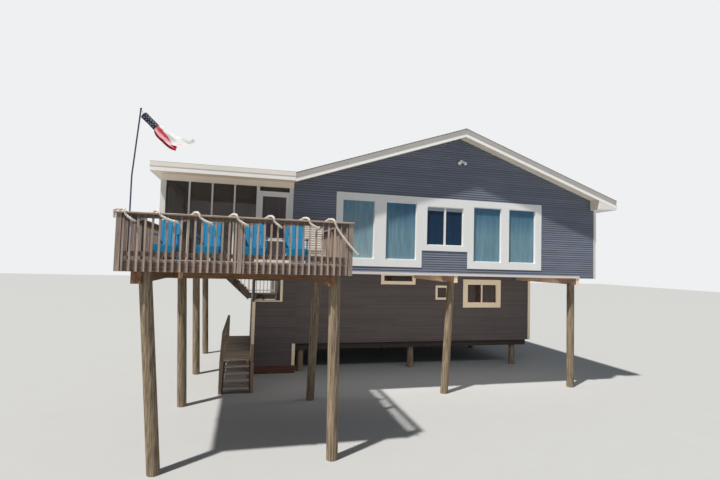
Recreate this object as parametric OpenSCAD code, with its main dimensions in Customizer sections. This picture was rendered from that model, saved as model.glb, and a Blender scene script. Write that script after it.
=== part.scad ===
// Beach house on piles: a gabled upper storey with a screened porch and a front deck,
// a smaller lower storey set back beneath it, and the stairs that join them.
// Origin at the foot of the middle front pile, X to the right, Y to the back, Z up.
// Sizes are drawn from the middle of the front wall; place() moves them to the origin.

/* [House] */
// Width of the front wall
house_w = 10650; // [9600:10:11400]
// Depth of the upper storey
house_d = 11520; // [10800:10:13200]
// Height of the upper storey's foot above the ground
sill_z = 3840; // [3600:10:4200]
// Thickness of the outer walls
wall_t = 150; // [120:5:200]
// Height of the floors above the upper storey's foot
floor_h = 288; // [270:1:330]

/* [Roof] */
// Height of the ridge above the upper storey's foot
ridge_h = 4734; // [4500:10:5200]
// Angle of the roof's slopes in degrees
roof_angle = 18.778; // [17:0.001:21]
// Distance of the ridge to the right of the middle of the front wall
ridge_off = 60; // [0:10:200]
// Overhang past the right wall
eave_over = 545; // [300:5:700]
// Overhang past the front and back walls
rake_over = 420; // [250:5:500]
// Height of the roof's rafters and sheathing
roof_t = 200; // [150:5:240]
// Height of the fascia boards
fascia_h = 264; // [250:1:300]
// Thickness of a fascia board
fascia_t = 30; // [18:1:45]
// Thickness of the soffit boards
soffit_t = 15; // [9:1:20]

/* [Front windows] */
// Width of the white casing round the front windows
casing_w = 7200; // [7150:10:7400]
// Left edge of the casing from the middle of the wall
casing_x = -4028; // [-4060:2:-3960]
// Foot of the casing above the storey's foot
casing_z = 245; // [200:5:300]
// Top of the casing above the storey's foot
casing_top = 2497; // [2420:1:2520]
// How far the casing stands out from the wall
casing_t = 26; // [15:1:40]
// Foot of the casing under the middle window
step_z = 793; // [700:1:850]
// Left edge of the casing's raised middle part
step_x = -1220; // [-1240:2:-1200]
// Width of the casing's raised middle part
step_w = 1608; // [1570:2:1640]
// Width of a tall pane
tall_w = 1020; // [960:5:1040]
// Foot of the tall panes above the storey's foot
tall_z = 478; // [400:1:520]
// Top of the tall panes above the storey's foot
tall_top = 2288; // [2200:1:2330]
// Width of the middle pane
slider_w = 1273; // [1200:1:1300]
// Foot of the middle pane above the storey's foot
slider_z = 974; // [940:1:1000]
// Top of the middle pane above the storey's foot
slider_top = 2220; // [2150:1:2280]
// Width of the frame round a pane, let into the wall
sash_w = 50; // [30:1:60]
// Thickness of the glass
glass_t = 20; // [10:1:30]

/* [Side windows] */
// Width of a pane in the side and back walls
side_pane_w = 900; // [700:10:1100]
// Height of a pane in the side and back walls
side_pane_h = 1300; // [1000:10:1500]
// Foot of those panes above the floor
side_pane_z = 800; // [700:10:900]
// Width of the trim round a side or lower window
trim_w = 90; // [60:5:120]
// How far the trim stands out from a wall
trim_t = 22; // [15:1:30]

/* [Trim] */
// Width of a corner board
corner_w = 115; // [90:1:140]
// Height of the band at the foot of the siding
band_h = 75; // [50:1:120]

/* [Porch] */
// Width of the porch, left of the house
porch_w = 3680; // [3400:10:3900]
// Depth of the porch
porch_d = 4440; // [4300:10:4600]
// Height of the header's underside above the storey's foot
header_z = 2502; // [2450:1:2550]
// Height of the header
header_h = 162; // [140:1:200]
// Height of the porch roof above the header
porch_roof_h = 252; // [240:1:280]
// Overhang of the porch roof to the left and back
porch_over = 185; // [150:5:300]
// Side of a porch post
post_w = 140; // [100:5:160]
// Width of the bars between the screens
mullion_w = 45; // [30:1:60]
// Thickness of a screen
screen_t = 8; // [4:1:12]
// Width of the screen door
door_w = 864; // [800:1:900]
// Height of the screen door
door_h = 2020; // [1950:5:2050]
// Width of the frame left of the door
jamb_w = 90; // [60:1:100]

/* [Piles and girders] */
// Diameter of a pile
pile_d = 250; // [220:5:280]
// Distance of the right piles in from the right wall's face
pile_in = 645; // [575:5:825]
// Distance of the left piles in from the left wall's face
left_pile_in = 825; // [675:5:875]
// Distance between the piles of a row
pile_py = 3600; // [3480:10:3600]
// Distance of the first piles behind the front wall
pile_y = 360; // [300:10:420]
// Distance of the porch's piles in from the porch's left edge
porch_pile_in = 625; // [445:5:705]
// Shift of the middle front pile's foot to the right
middle_lean_x = -180; // [-240:10:0]
// Shift of the left deck pile's foot to the right
deck_lean_x = 330; // [0:10:360]
// Shift of the right deck pile's foot to the right
deck_right_lean_x = 60; // [0:10:120]
// Shift of the porch piles' feet to the right
porch_lean_x = 155; // [0:5:200]
// Shift of the left front pile's foot to the right
left_lean_x = -90; // [-120:10:0]
// Width of a girder
girder_w = 120; // [90:1:140]
// Height of a girder
girder_h = 222; // [200:1:240]

/* [Deck] */
// Distance from the deck's right edge to the casing of the front windows
deck_gap = 407; // [380:1:440]
// Width of the deck
deck_w = 4570; // [4450:10:4700]
// Depth of the deck
deck_d = 4044; // [3900:1:4200]
// Height of the deck's joists
joist_h = 184; // [160:1:200]
// Thickness of the deck's boards and rails
board_t = 38; // [32:1:45]
// Height of the railing above the deck
rail_h = 910; // [860:10:1000]
// Width of the railing's cap board
cap_w = 140; // [120:1:160]
// Side of a railing post
rail_post_w = 90; // [80:1:100]
// Side of a baluster
baluster_w = 38; // [30:1:42]
// Distance from one baluster to the next
baluster_p = 130; // [120:1:145]
// Distance of the middle front post left of the deck's middle
mid_post_off = 29; // [0:1:60]
// Distance of the deck's piles behind its front edge
deck_pile_in = 324; // [280:1:380]
// Distance of the left deck pile in from the deck's left edge
deck_left_in = 482; // [400:1:600]
// Distance of the right deck pile in from the deck's right edge
deck_right_in = 310; // [260:1:400]
// Width of the deck's doubled girders
deck_girder_w = 180; // [150:5:200]
// Height of the deck's girders
deck_girder_h = 235; // [200:1:260]

/* [Lower storey] */
// Distance of the lower front wall behind the upper one
low_y = 3600; // [3540:10:3640]
// Foot of the lower storey above the ground
low_z = 1090; // [960:10:1200]
// Thickness of the lower floor
low_floor_t = 250; // [200:5:300]
// Distance of the stair bay's left edge left of the house's left wall
bay_out = 1030; // [975:5:1075]
// Width of the stair bay
bay_w = 1615; // [1560:5:1660]
// Foot of the bay's siding above the ground
bay_z = 291; // [200:1:400]
// Depth of the stair bay
bay_d = 3800; // [3700:10:3900]
// Left edge of the open window of the stair bay from the bay's left edge
hole_x = 85; // [60:5:120]
// Width of that window
hole_w = 913; // [860:1:940]
// Foot of that window above the ground
hole_z = 2691; // [2650:1:2740]
// Top of that window above the ground
hole_top = 3419; // [3380:1:3460]
// Thickness of the skirt's boards
skirt_t = 40; // [25:1:50]

/* [Lower windows] */
// Left edge of the left pane from the middle of the front wall
low1_x = -1305; // [-1400:5:-1200]
// Width of the left pane
low1_w = 1190; // [1100:5:1250]
// Foot of the left pane above the ground
low1_z = 3487; // [3440:1:3520]
// Top of the left pane above the ground
low1_top = 3700; // [3660:1:3710]
// Left edge of the middle pane from the middle of the front wall
low2_x = 987; // [900:1:1080]
// Width of the middle pane
low2_w = 400; // [350:5:450]
// Foot of the middle pane above the ground
low2_z = 2848; // [2780:1:2900]
// Top of the middle pane above the ground
low2_top = 3253; // [3200:1:3320]
// Left edge of the right pane from the middle of the front wall
low3_x = 2349; // [2280:1:2420]
// Width of the right pane
low3_w = 1319; // [1260:1:1380]
// Foot of the right pane above the ground
low3_z = 2661; // [2600:1:2720]
// Top of the right pane above the ground
low3_top = 3393; // [3340:1:3420]
// Width of the boards round the left pane
low1_trim = 130; // [100:5:150]
// Width of the boards round the middle pane
low2_trim = 85; // [60:5:110]
// Width of the boards round the right pane
low3_trim = 215; // [180:5:240]

/* [Stairs] */
// Height of the stair's middle landing above the ground
landing_z = 2700; // [2650:10:2750]
// Thickness of a landing
landing_t = 180; // [140:5:220]
// Width of the upper flight
flight_w = 900; // [850:10:950]
// Going of a tread of the upper flight
up_run = 219; // [210:1:228]
// Going of a tread of the lower flight
tread_run = 231; // [220:1:240]
// Going of a beach step
step_run = 250; // [230:5:280]
// Thickness of a tread
tread_t = 38; // [32:1:45]
// Thickness of a stringer
stringer_t = 40; // [35:1:50]
// Height of the boardwalk above the ground
walk_z = 840; // [780:10:900]
// Width of the boardwalk and its steps
walk_w = 865; // [805:5:905]
// Front edge of the boardwalk behind the front wall
walk_y = 2300; // [2200:10:2400]
// Back edge of the boardwalk behind the front wall
walk_end = 7000; // [6900:10:7200]
// Height of the guards and handrails
guard_h = 900; // [860:10:960]
// Thickness of the guards' bars
guard_t = 40; // [32:1:45]
// Distance from one bar of a guard to the next
guard_p = 165; // [140:5:180]

/* [Deck chairs] */
// Width of a chair over its arms
chair_w = 600; // [560:5:680]
// Width of a chair's back
chair_back_w = 450; // [400:5:500]
// Depth of a chair's seat
chair_d = 500; // [450:10:560]
// Height of a chair's back above the deck
chair_h = 950; // [880:10:980]
// Height of the arms above the deck
arm_z = 560; // [520:10:600]
// Thickness of the chairs' boards
chair_t = 24; // [18:1:30]
// Distance of the chairs' backs in front of the front wall
chair_y = 2250; // [2150:10:2300]
// Width of the slatted chair
slat_w = 480; // [440:5:520]
// Height of the slatted chair's back above the deck
slat_h = 1030; // [940:5:1060]
// Distance of the slatted chair's middle in from the deck's right edge
slat_in = 465; // [400:5:500]
// Distance of its back in front of the front wall
slat_y = 1500; // [1400:10:1600]

/* [Rope, pole and lamp] */
// Diameter of the rope round the railing
rope_d = 50; // [40:1:54]
// Distance from one turn of the rope to the next
rope_pitch = 715; // [690:5:740]
// Depth of the rope's turns below the cap's top
rope_drop = 172; // [140:1:190]
// Distance the rope's end stands out past the deck's right edge
rope_out = 117; // [60:1:150]
// Height of the rope's end above the deck
rope_end_z = 221; // [150:1:300]
// Diameter of the flagpole
pole_d = 28; // [22:1:34]
// Height of the flagpole's head above the deck
pole_h = 2930; // [2700:10:3100]
// Distance of the flagpole from the deck's left edge
pole_x = 196; // [180:2:220]
// Diameter of the windsock
sock_d = 140; // [120:2:160]
// Length of the windsock's tube
sock_l = 435; // [400:5:480]
// Height of the floodlight above the storey's foot
lamp_z = 3760; // [3650:10:3850]

/* [Hidden] */
$fn = 48;
e = 1;
// Clear joint between boards that only touch
gap = 0.3;

house_l = -house_w / 2;
house_r = house_w / 2;
floor_z = sill_z + floor_h;
pile_r = pile_d / 2;
function roof_top(x) = sill_z + ridge_h - tan(roof_angle) * abs(x - ridge_off);
function roof_under(x) = roof_top(x) - roof_t;
bay_x = house_l - bay_out;
bay_r = bay_x + bay_w;
porch_l = house_l - porch_w;
porch_pile_x = porch_l + porch_pile_in;
function row_y(i) = pile_y + i * pile_py;
function pile_x(k) = k < 0 ? house_l + left_pile_in : k * (house_r - pile_in);

// Solid between two corners
module block(a, b) {
    translate(a) cube(b - a);
}

// Outline drawn in X and Z, pulled from y0 to y1
module pull(y0, y1) {
    translate([0, y1, 0]) rotate([90, 0, 0]) linear_extrude(y1 - y0) children();
}

// Outline drawn in Y and Z, pulled from x0 to x1
module pull_x(x0, x1) {
    translate([x0, 0, 0]) rotate([90, 0, 90]) linear_extrude(x1 - x0) children();
}

// Moves the foot of the middle front pile to the origin
module place() {
    translate([-middle_lean_x, -pile_y, 0]) children();
}

// Round bar from a to b
module rod(a, b, r) {
    d = b - a;
    translate(a) rotate([0, acos(d.z / norm(d)), atan2(d.y, d.x)]) cylinder(h = norm(d), r = r);
}

// Upright pile, cut level at foot and head
module pile(x, y, h) {
    translate([x, y, 0]) cylinder(h = h, r = pile_r);
}

// Pile whose foot stands aside of its head, cut level at both ends
module leaning_pile(x, y, h, foot) {
    angle = atan2(foot, h);
    intersection() {
        translate([x, y, h]) rotate([0, 180 - angle, 0])
            translate([0, 0, -pile_d]) cylinder(h = h / cos(angle) + 2 * pile_d, r = pile_r);
        block([x - abs(foot) - pile_d, y - pile_d, 0], [x + abs(foot) + pile_d, y + pile_d, h]);
    }
}

module house_piles() {
    color("#8a8070") place() {
        for (i = [0:3], k = [-1:1])
            if (i > 0 || k == 1) pile(pile_x(k), row_y(i), sill_z - girder_h);
        leaning_pile(0, row_y(0), sill_z - girder_h, middle_lean_x);
        leaning_pile(pile_x(-1), row_y(0), sill_z - girder_h, left_lean_x);
        for (i = [0:2]) leaning_pile(porch_pile_x, row_y(i), sill_z - girder_h, porch_lean_x);
    }
}

deck_front = -deck_d;
deck_r = casing_x - deck_gap;
deck_x = deck_r - deck_w;
deck_pile_xs = [deck_x + deck_left_in, deck_r - deck_right_in];
joist_z = floor_z - board_t - joist_h;
deck_pile_y = deck_front + deck_pile_in;
girder_notch = 100;
deck_girder_in = 90;
deck_girder_y = deck_front + deck_girder_in;

module deck_girder_bars() {
    for (x = deck_pile_xs)
        block([x - pile_r + girder_notch - deck_girder_w, deck_girder_y, joist_z - deck_girder_h],
            [x - pile_r + girder_notch, -e, joist_z]);
}

module deck_piles() {
    color("#8a8070") place()
    difference() {
        union() {
            leaning_pile(deck_pile_xs[0], deck_pile_y, joist_z, deck_lean_x);
            leaning_pile(deck_pile_xs[1], deck_pile_y, joist_z, deck_right_lean_x);
        }
        deck_girder_bars();
    }
}

module girder_bars() {
    for (k = [-1:1])
        block([pile_x(k) - girder_w / 2, 0, sill_z - girder_h],
            [pile_x(k) + girder_w / 2, house_d, sill_z]);
}

porch_girder_end = row_y(2) + pile_r;
low_girder_h = 240;
// Ends of the two beams under the porch's front edge, which butt against the girders
front_beam_xs = [
    [porch_l, porch_pile_x - girder_w / 2 - gap],
    [porch_pile_x + girder_w / 2 + gap, pile_x(-1) - girder_w / 2 - gap]
];
module girders() {
    color("#a08468") place() {
        girder_bars();
        deck_girder_bars();
        block([porch_pile_x - girder_w / 2, 0, sill_z - girder_h],
            [porch_pile_x + girder_w / 2, porch_girder_end, sill_z]);
        for (x = front_beam_xs)
            block([x[0], 0, sill_z - girder_h], [x[1], girder_w, sill_z]);
        for (i = [1:3])
            block([bay_r + gap, row_y(i) - pile_r - girder_w, low_z - low_girder_h],
                [house_r - wall_t, row_y(i) - pile_r, low_z]);
    }
}

module upper_floor() {
    color("#b09878") place()
    block([house_l + wall_t, wall_t, sill_z], [house_r - wall_t, house_d - wall_t, floor_z]);
}

// White boards left and right of the tall panes: outermost, then beside the raised middle part
left_board_w = 200;
left_step_w = 190;
right_step_w = 215;
right_board_w = 235;
// Panes of the front windows: left edge, width, foot, top
front_panes = [
    [casing_x + left_board_w, tall_w, tall_z, tall_top],
    [step_x - left_step_w - tall_w, tall_w, tall_z, tall_top],
    [step_x + (step_w - slider_w) / 2, slider_w, slider_z, slider_top],
    [step_x + step_w + right_step_w, tall_w, tall_z, tall_top],
    [casing_x + casing_w - right_board_w - tall_w, tall_w, tall_z, tall_top]
];

module pane_outline(p, grow = 0) {
    translate([p[0] - grow, sill_z + p[2] - grow])
        square([p[1] + 2 * grow, p[3] - p[2] + 2 * grow]);
}

module gable_outline() {
    polygon([
        [house_l, sill_z], [house_r, sill_z],
        [house_r, roof_under(house_r)], [ridge_off, roof_under(ridge_off)],
        [house_l, roof_under(house_l)]
    ]);
}

module front_wall() {
    color("#6d7690") place()
    difference() {
        pull(0, wall_t) gable_outline();
        for (p = front_panes) pull(-e, wall_t + e) pane_outline(p, sash_w);
    }
}

glass_in = 45;
bar_in = 5;
bar_w = 60;
module front_window_frame() {
    color("#f1f0ec") place() {
        difference() {
            union() {
                pull(-casing_t, 0) polygon([
                    [casing_x, sill_z + casing_z], [step_x, sill_z + casing_z],
                    [step_x, sill_z + step_z], [step_x + step_w, sill_z + step_z],
                    [step_x + step_w, sill_z + casing_z], [casing_x + casing_w, sill_z + casing_z],
                    [casing_x + casing_w, sill_z + casing_top], [casing_x, sill_z + casing_top]
                ]);
                for (p = front_panes) pull(0, wall_t) pane_outline(p, sash_w);
            }
            for (p = front_panes) pull(-casing_t - e, wall_t + e) pane_outline(p);
        }
        block([step_x + step_w / 2 - bar_w / 2, bar_in, sill_z + slider_z],
            [step_x + step_w / 2 + bar_w / 2, glass_in, sill_z + slider_top]);
    }
}

// Windows of the right, left and back walls: distance of the middle along the wall
right_centres = [for (i = [0:3]) house_d * (i + 0.5) / 4];
left_centres = [for (i = [2:3]) house_d * (i + 0.5) / 4];
back_centres = [for (i = [0:3]) house_l + house_w * (i + 0.5) / 4];

module side_pane(centre, grow = 0) {
    translate([centre - side_pane_w / 2 - grow, floor_z + side_pane_z - grow])
        square([side_pane_w + 2 * grow, side_pane_h + 2 * grow]);
}

// Door from the house to the porch
porch_door_y = 1500;
porch_door_w = 900;
porch_door_h = 2050;
module porch_door_outline(grow = 0) {
    translate([porch_door_y - grow, floor_z])
        square([porch_door_w + 2 * grow, porch_door_h + grow]);
}

module side_wall_bar(x0, x1) {
    pull(wall_t, house_d - wall_t) polygon([
        [x0, sill_z], [x1, sill_z], [x1, roof_under(x1)], [x0, roof_under(x0)]
    ]);
}

module right_wall() {
    color("#6d7690") place()
    difference() {
        side_wall_bar(house_r - wall_t, house_r);
        for (c = right_centres) pull_x(house_r - wall_t - e, house_r + e) side_pane(c, sash_w);
    }
}

module left_wall() {
    color("#6d7690") place()
    difference() {
        side_wall_bar(house_l, house_l + wall_t);
        for (c = left_centres) pull_x(house_l - e, house_l + wall_t + e) side_pane(c, sash_w);
        pull_x(house_l - e, house_l + wall_t + e) porch_door_outline(sash_w);
    }
}

module back_wall() {
    color("#6d7690") place()
    difference() {
        pull(house_d - wall_t, house_d) gable_outline();
        for (c = back_centres) pull(house_d - wall_t - e, house_d + e) side_pane(c, sash_w);
    }
}

module side_window_frames() {
    color("#f1f0ec") place() {
        for (c = right_centres) difference() {
            union() {
                pull_x(house_r - wall_t, house_r) side_pane(c, sash_w);
                pull_x(house_r, house_r + trim_t) side_pane(c, sash_w + trim_w);
            }
            pull_x(house_r - wall_t - e, house_r + trim_t + e) side_pane(c);
        }
        for (c = left_centres) difference() {
            union() {
                pull_x(house_l, house_l + wall_t) side_pane(c, sash_w);
                pull_x(house_l - trim_t, house_l) side_pane(c, sash_w + trim_w);
            }
            pull_x(house_l - trim_t - e, house_l + wall_t + e) side_pane(c);
        }
        for (c = back_centres) difference() {
            union() {
                pull(house_d - wall_t, house_d) side_pane(c, sash_w);
                pull(house_d, house_d + trim_t) side_pane(c, sash_w + trim_w);
            }
            pull(house_d - wall_t - e, house_d + trim_t + e) side_pane(c);
        }
        difference() {
            pull_x(house_l, house_l + wall_t) porch_door_outline(sash_w);
            pull_x(house_l - e, house_l + wall_t + e) porch_door_outline();
        }
        pull_x(house_l + wall_t / 3, house_l + wall_t * 2 / 3) porch_door_outline();
    }
}

module upper_glass() {
    color("#7fa9b5") place() {
        for (p = front_panes) pull(glass_in, glass_in + glass_t) pane_outline(p);
        for (c = right_centres)
            pull_x(house_r - glass_in - glass_t, house_r - glass_in) side_pane(c);
        for (c = left_centres)
            pull_x(house_l + glass_in, house_l + glass_in + glass_t) side_pane(c);
        for (c = back_centres)
            pull(house_d - glass_in - glass_t, house_d - glass_in) side_pane(c);
    }
}

// Strip of a roof slope between x0 and x1, from depth a to depth b under the roof's top
module slope_strip(x0, x1, a, b) {
    polygon([
        [x0, roof_top(x0) - b], [x1, roof_top(x1) - b],
        [x1, roof_top(x1) - a], [x0, roof_top(x0) - a]
    ]);
}

eave_x = house_r + eave_over;
module main_roof() {
    color("#9a9690") place()
    pull(-rake_over, house_d + rake_over) {
        slope_strip(house_l, ridge_off - gap / 2, 0, roof_t);
        slope_strip(ridge_off + gap / 2, eave_x, 0, roof_t);
    }
}

porch_edge = porch_l - porch_over;
porch_ceiling = sill_z + header_z + header_h;
porch_top = porch_ceiling + porch_roof_h;
porch_back = porch_d + porch_over;

module porch_roof() {
    color("#9a9690") place()
    block([porch_edge, -rake_over, porch_ceiling + soffit_t], [house_l, porch_back, porch_top]);
}

// Rake boards of the gable, from y0 to y1
module rake_boards(y0, y1) {
    pull(y0, y1) {
        slope_strip(house_l, ridge_off - gap / 2, 0, fascia_h);
        slope_strip(ridge_off + gap / 2, eave_x, 0, fascia_h);
    }
}

// The upper fascia band stands out past the lower one
drip_h = 90;
drip_t = 22;
module front_fascia() {
    color("#f4f3ef") place() {
        rake_boards(-rake_over - fascia_t, -rake_over);
        pull(-rake_over - fascia_t - drip_t, -rake_over - fascia_t) {
            slope_strip(house_l, ridge_off - gap / 2, 0, drip_h);
            slope_strip(ridge_off + gap / 2, eave_x, 0, drip_h);
        }
        block([porch_edge - fascia_t, -rake_over - fascia_t, porch_ceiling],
            [house_l - gap, -rake_over, porch_top]);
        block([porch_edge - fascia_t, -rake_over - fascia_t - drip_t, porch_top - drip_h],
            [house_l - gap, -rake_over - fascia_t, porch_top]);
    }
}

module rear_fascia() {
    color("#f4f3ef") place() {
        rake_boards(house_d + rake_over, house_d + rake_over + fascia_t);
        block([eave_x + gap, -rake_over - fascia_t, roof_top(eave_x) - fascia_h],
            [eave_x + fascia_t, house_d + rake_over + fascia_t, roof_top(eave_x)]);
        block([porch_edge - fascia_t, -rake_over + gap, porch_ceiling],
            [porch_edge, porch_back + fascia_t, porch_top]);
        block([porch_edge + gap, porch_back, porch_ceiling],
            [house_l - gap, porch_back + fascia_t, porch_top]);
    }
}

module soffits() {
    color("#ded8c8") place() {
        for (y = [[-rake_over, -gap], [house_d + gap, house_d + rake_over]])
            pull(y[0], y[1]) {
                slope_strip(house_l, ridge_off - gap / 2, roof_t, roof_t + soffit_t);
                slope_strip(ridge_off + gap / 2, eave_x, roof_t, roof_t + soffit_t);
            }
        pull(0, house_d) slope_strip(house_r, eave_x, roof_t, roof_t + soffit_t);
        block([porch_edge, -rake_over, porch_ceiling],
            [house_l - gap, porch_back, porch_ceiling + soffit_t]);
    }
}

module upper_trim() {
    color("#f1f0ec") place() {
        block([deck_r, -trim_t, sill_z], [pile_x(1) + girder_w / 2, 0, sill_z + band_h]);
        block([house_r, -trim_t, sill_z], [house_r + trim_t, corner_w, sill_z + header_z]);
    }
}

module porch_floor() {
    color("#a89a88") place()
    block([porch_l, 0, sill_z], [house_l, porch_d, floor_z]);
}

header_low = sill_z + header_z;
door_post_w = 125;
door_r = house_l - door_post_w;
door_head = 60;
door_l = door_r - door_w;
screen_in = 60;
bar_xs = [for (i = [1:3]) porch_l + post_w + i * (door_l - jamb_w - porch_l - post_w) / 4];
side_bay = (porch_d - 2 * post_w) / 6;

module porch_frame() {
    color("#f1f0ec") place() {
        block([porch_l, 0, header_low], [house_l, post_w, porch_ceiling]);
        block([porch_l, post_w + gap, header_low], [porch_l + post_w, porch_d, porch_ceiling]);
        block([porch_l + post_w + gap, porch_d - post_w, header_low],
            [house_l, porch_d, porch_ceiling]);
        for (y = [0, porch_d - post_w])
            block([porch_l, y, floor_z], [porch_l + post_w, y + post_w, header_low - gap]);
        for (x = bar_xs)
            block([x - mullion_w / 2, 0, floor_z], [x + mullion_w / 2, screen_in, header_low - gap]);
        for (i = [1:5])
            block([porch_l, post_w + i * side_bay - mullion_w / 2, floor_z],
                [porch_l + screen_in, post_w + i * side_bay + mullion_w / 2, header_low - gap]);
        block([door_l - jamb_w, 0, floor_z], [door_l - gap, post_w, header_low - gap]);
        block([door_r + gap, 0, floor_z], [house_l, post_w, header_low - gap]);
        block([door_l, 0, floor_z + door_h], [door_r, post_w, floor_z + door_h + door_head]);
        block([house_l - post_w, porch_d - post_w, floor_z], [house_l, porch_d, header_low - gap]);
    }
}

module porch_screens() {
    color("#3c3f42") place() {
        block([porch_l + post_w, screen_in, floor_z],
            [door_l - jamb_w, screen_in + screen_t, header_low]);
        block([porch_l + screen_in, post_w, floor_z],
            [porch_l + screen_in + screen_t, porch_d - post_w, header_low]);
        block([porch_l + post_w, porch_d - screen_in - screen_t, floor_z],
            [house_l - post_w, porch_d - screen_in, header_low]);
        block([door_l, screen_in, floor_z + door_h + door_head],
            [door_r, screen_in + screen_t, header_low]);
    }
}

door_rail_w = 90;
door_in = 20;
door_t = 35;
panel_in = 30;
kick_h = 200;
mid_rail_z = 620;
module screen_door() {
    color("#eceae4") place()
    difference() {
        block([door_l, door_in, floor_z], [door_r, door_in + door_t, floor_z + door_h]);
        block([door_l + door_rail_w, 0, floor_z + mid_rail_z + door_rail_w],
            [door_r - door_rail_w, panel_in, floor_z + door_h - door_rail_w]);
        block([door_l + door_rail_w, 0, floor_z + kick_h],
            [door_r - door_rail_w, panel_in, floor_z + mid_rail_z]);
    }
}

rim_y = deck_front + baluster_w;
joists = 11;
joist_step = (-rim_y - board_t) / joists;
module deck_frame() {
    color("#6f6058") place() {
        block([deck_x + baluster_w, rim_y, joist_z],
            [deck_r - baluster_w, rim_y + board_t, joist_z + joist_h]);
        for (x = [deck_x + baluster_w, deck_r - baluster_w - board_t])
            block([x, rim_y + board_t + gap, joist_z], [x + board_t, 0, joist_z + joist_h]);
        for (i = [1:joists])
            block([deck_x + baluster_w + board_t + gap, rim_y + i * joist_step, joist_z],
                [deck_r - baluster_w - board_t - gap, rim_y + i * joist_step + board_t,
                    joist_z + joist_h]);
    }
}

module deck_boards() {
    color("#9b8c80") place()
    block([deck_x + baluster_w, rim_y, joist_z + joist_h], [deck_r - baluster_w, 0, floor_z]);
}

cap_z = floor_z + rail_h - board_t;
mid_post_x = deck_x + deck_w / 2 - mid_post_off;
module rail_post_at(x, y) {
    block([x, y, joist_z], [x + rail_post_w, y + rail_post_w, cap_z]);
}

module deck_posts() {
    color("#85736a") place()
    difference() {
        union() {
            rail_post_at(deck_x, deck_front);
            rail_post_at(mid_post_x - rail_post_w / 2, deck_front);
            rail_post_at(deck_r - rail_post_w, deck_front);
            for (x = [deck_x, deck_r - rail_post_w]) {
                rail_post_at(x, deck_front / 2 - rail_post_w / 2);
                rail_post_at(x, -rail_post_w);
            }
        }
        block([deck_x + baluster_w, rim_y, joist_z - e], [deck_r - baluster_w, e, floor_z]);
    }
}

cap_in = (cap_w - rail_post_w) / 2;
module rail_caps() {
    color("#9a8a80") place() {
        block([deck_x - cap_in, deck_front - cap_in, cap_z],
            [deck_r + cap_in, deck_front - cap_in + cap_w, cap_z + board_t]);
        for (x = [deck_x - cap_in, deck_r + cap_in - cap_w])
            block([x, deck_front - cap_in + cap_w + gap, cap_z], [x + cap_w, 0, cap_z + board_t]);
    }
}

subrail_h = 70;
low_rail_z = 70;
low_rail_h = 90;
// Distance of a panel's first baluster from the post
first_in = 37;
function bar_spaces(len) = round((len - 2 * first_in) / baluster_p);
function bar_pitch(len) = (len - 2 * first_in) / bar_spaces(len);

// Balusters and rails of a stretch of railing between posts, along X from 0 to len
module rail_panel(len) {
    translate([0, baluster_w, cap_z - subrail_h]) cube([len, board_t, subrail_h]);
    translate([0, baluster_w, floor_z + low_rail_z]) cube([len, board_t, low_rail_h]);
    for (i = [0:bar_spaces(len)])
        translate([first_in + i * bar_pitch(len) - baluster_w / 2, 0, joist_z])
            cube([baluster_w, baluster_w, cap_z - joist_z]);
}

// Front panels: left edge and length
front_panels = [
    [deck_x + rail_post_w, deck_w / 2 - mid_post_off - rail_post_w * 1.5],
    [mid_post_x + rail_post_w / 2, deck_w / 2 + mid_post_off - rail_post_w * 1.5]
];
half_side = -deck_front / 2 - rail_post_w * 1.5;
module front_rail() {
    color("#8a7870") place()
    for (p = front_panels) translate([p[0], deck_front, 0]) rail_panel(p[1]);
}

module left_rail() {
    color("#8a7870") place()
    for (y = [deck_front / 2 - rail_post_w / 2, -rail_post_w])
        translate([deck_x, y, 0]) rotate([0, 0, -90]) rail_panel(half_side);
}

module right_rail() {
    color("#8a7870") place()
    for (y = [deck_front + rail_post_w, deck_front / 2 + rail_post_w / 2])
        translate([deck_r, y, 0]) rotate([0, 0, 90]) rail_panel(half_side);
}

// Rope wound round the front cap and its rail, from the left corner to the right post
rope_r = rope_d / 2;
rope_slack = 2.2;
rope_front = deck_front - cap_in - rope_r - rope_slack;
rope_back = deck_front - cap_in + cap_w + rope_r + rope_slack;
rope_top = cap_z + board_t + rope_r + rope_slack;
rope_low = cap_z + board_t - rope_drop;
rope_side = deck_x - cap_in - rope_r - rope_slack;
cap_mid = deck_front - cap_in + cap_w / 2;
rope_turns = 6;
// The last turn lies closer to the one before it, the first lies near the corner
last_turn_in = 180;
first_turn_x = 95;
turn_start_x = -26;
hump_h = 22;
// A turn crosses the cap from its back edge to its front edge
cross_back = 80;
cross_front = 60;
// Distance along the rail from a turn's top to its gap between balusters
slot_runs = [240, 345, 345, 345, 285, 345];
fall_z = rope_top - rope_r * 0.56;
function panel_at(x) = x < mid_post_x ? front_panels[0] : front_panels[1];
function slot_near(x) = let (p = panel_at(x), a = p[0] + first_in, w = bar_pitch(p[1]))
    a + (min(max(round((x - a) / w - 0.5), 0), bar_spaces(p[1]) - 1) + 0.5) * w;
function hump_x(k) = deck_x + (k == 0 ? first_turn_x
    : turn_start_x + k * rope_pitch - (k == rope_turns ? last_turn_in : 0));
function over_cap(x) = [
    [x, cap_mid, rope_top + hump_h],
    [x + cross_front / 2, cap_mid - rope_r * 1.5, rope_top + hump_h * 0.8],
    [x + cross_front, rope_front, fall_z]
];
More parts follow.
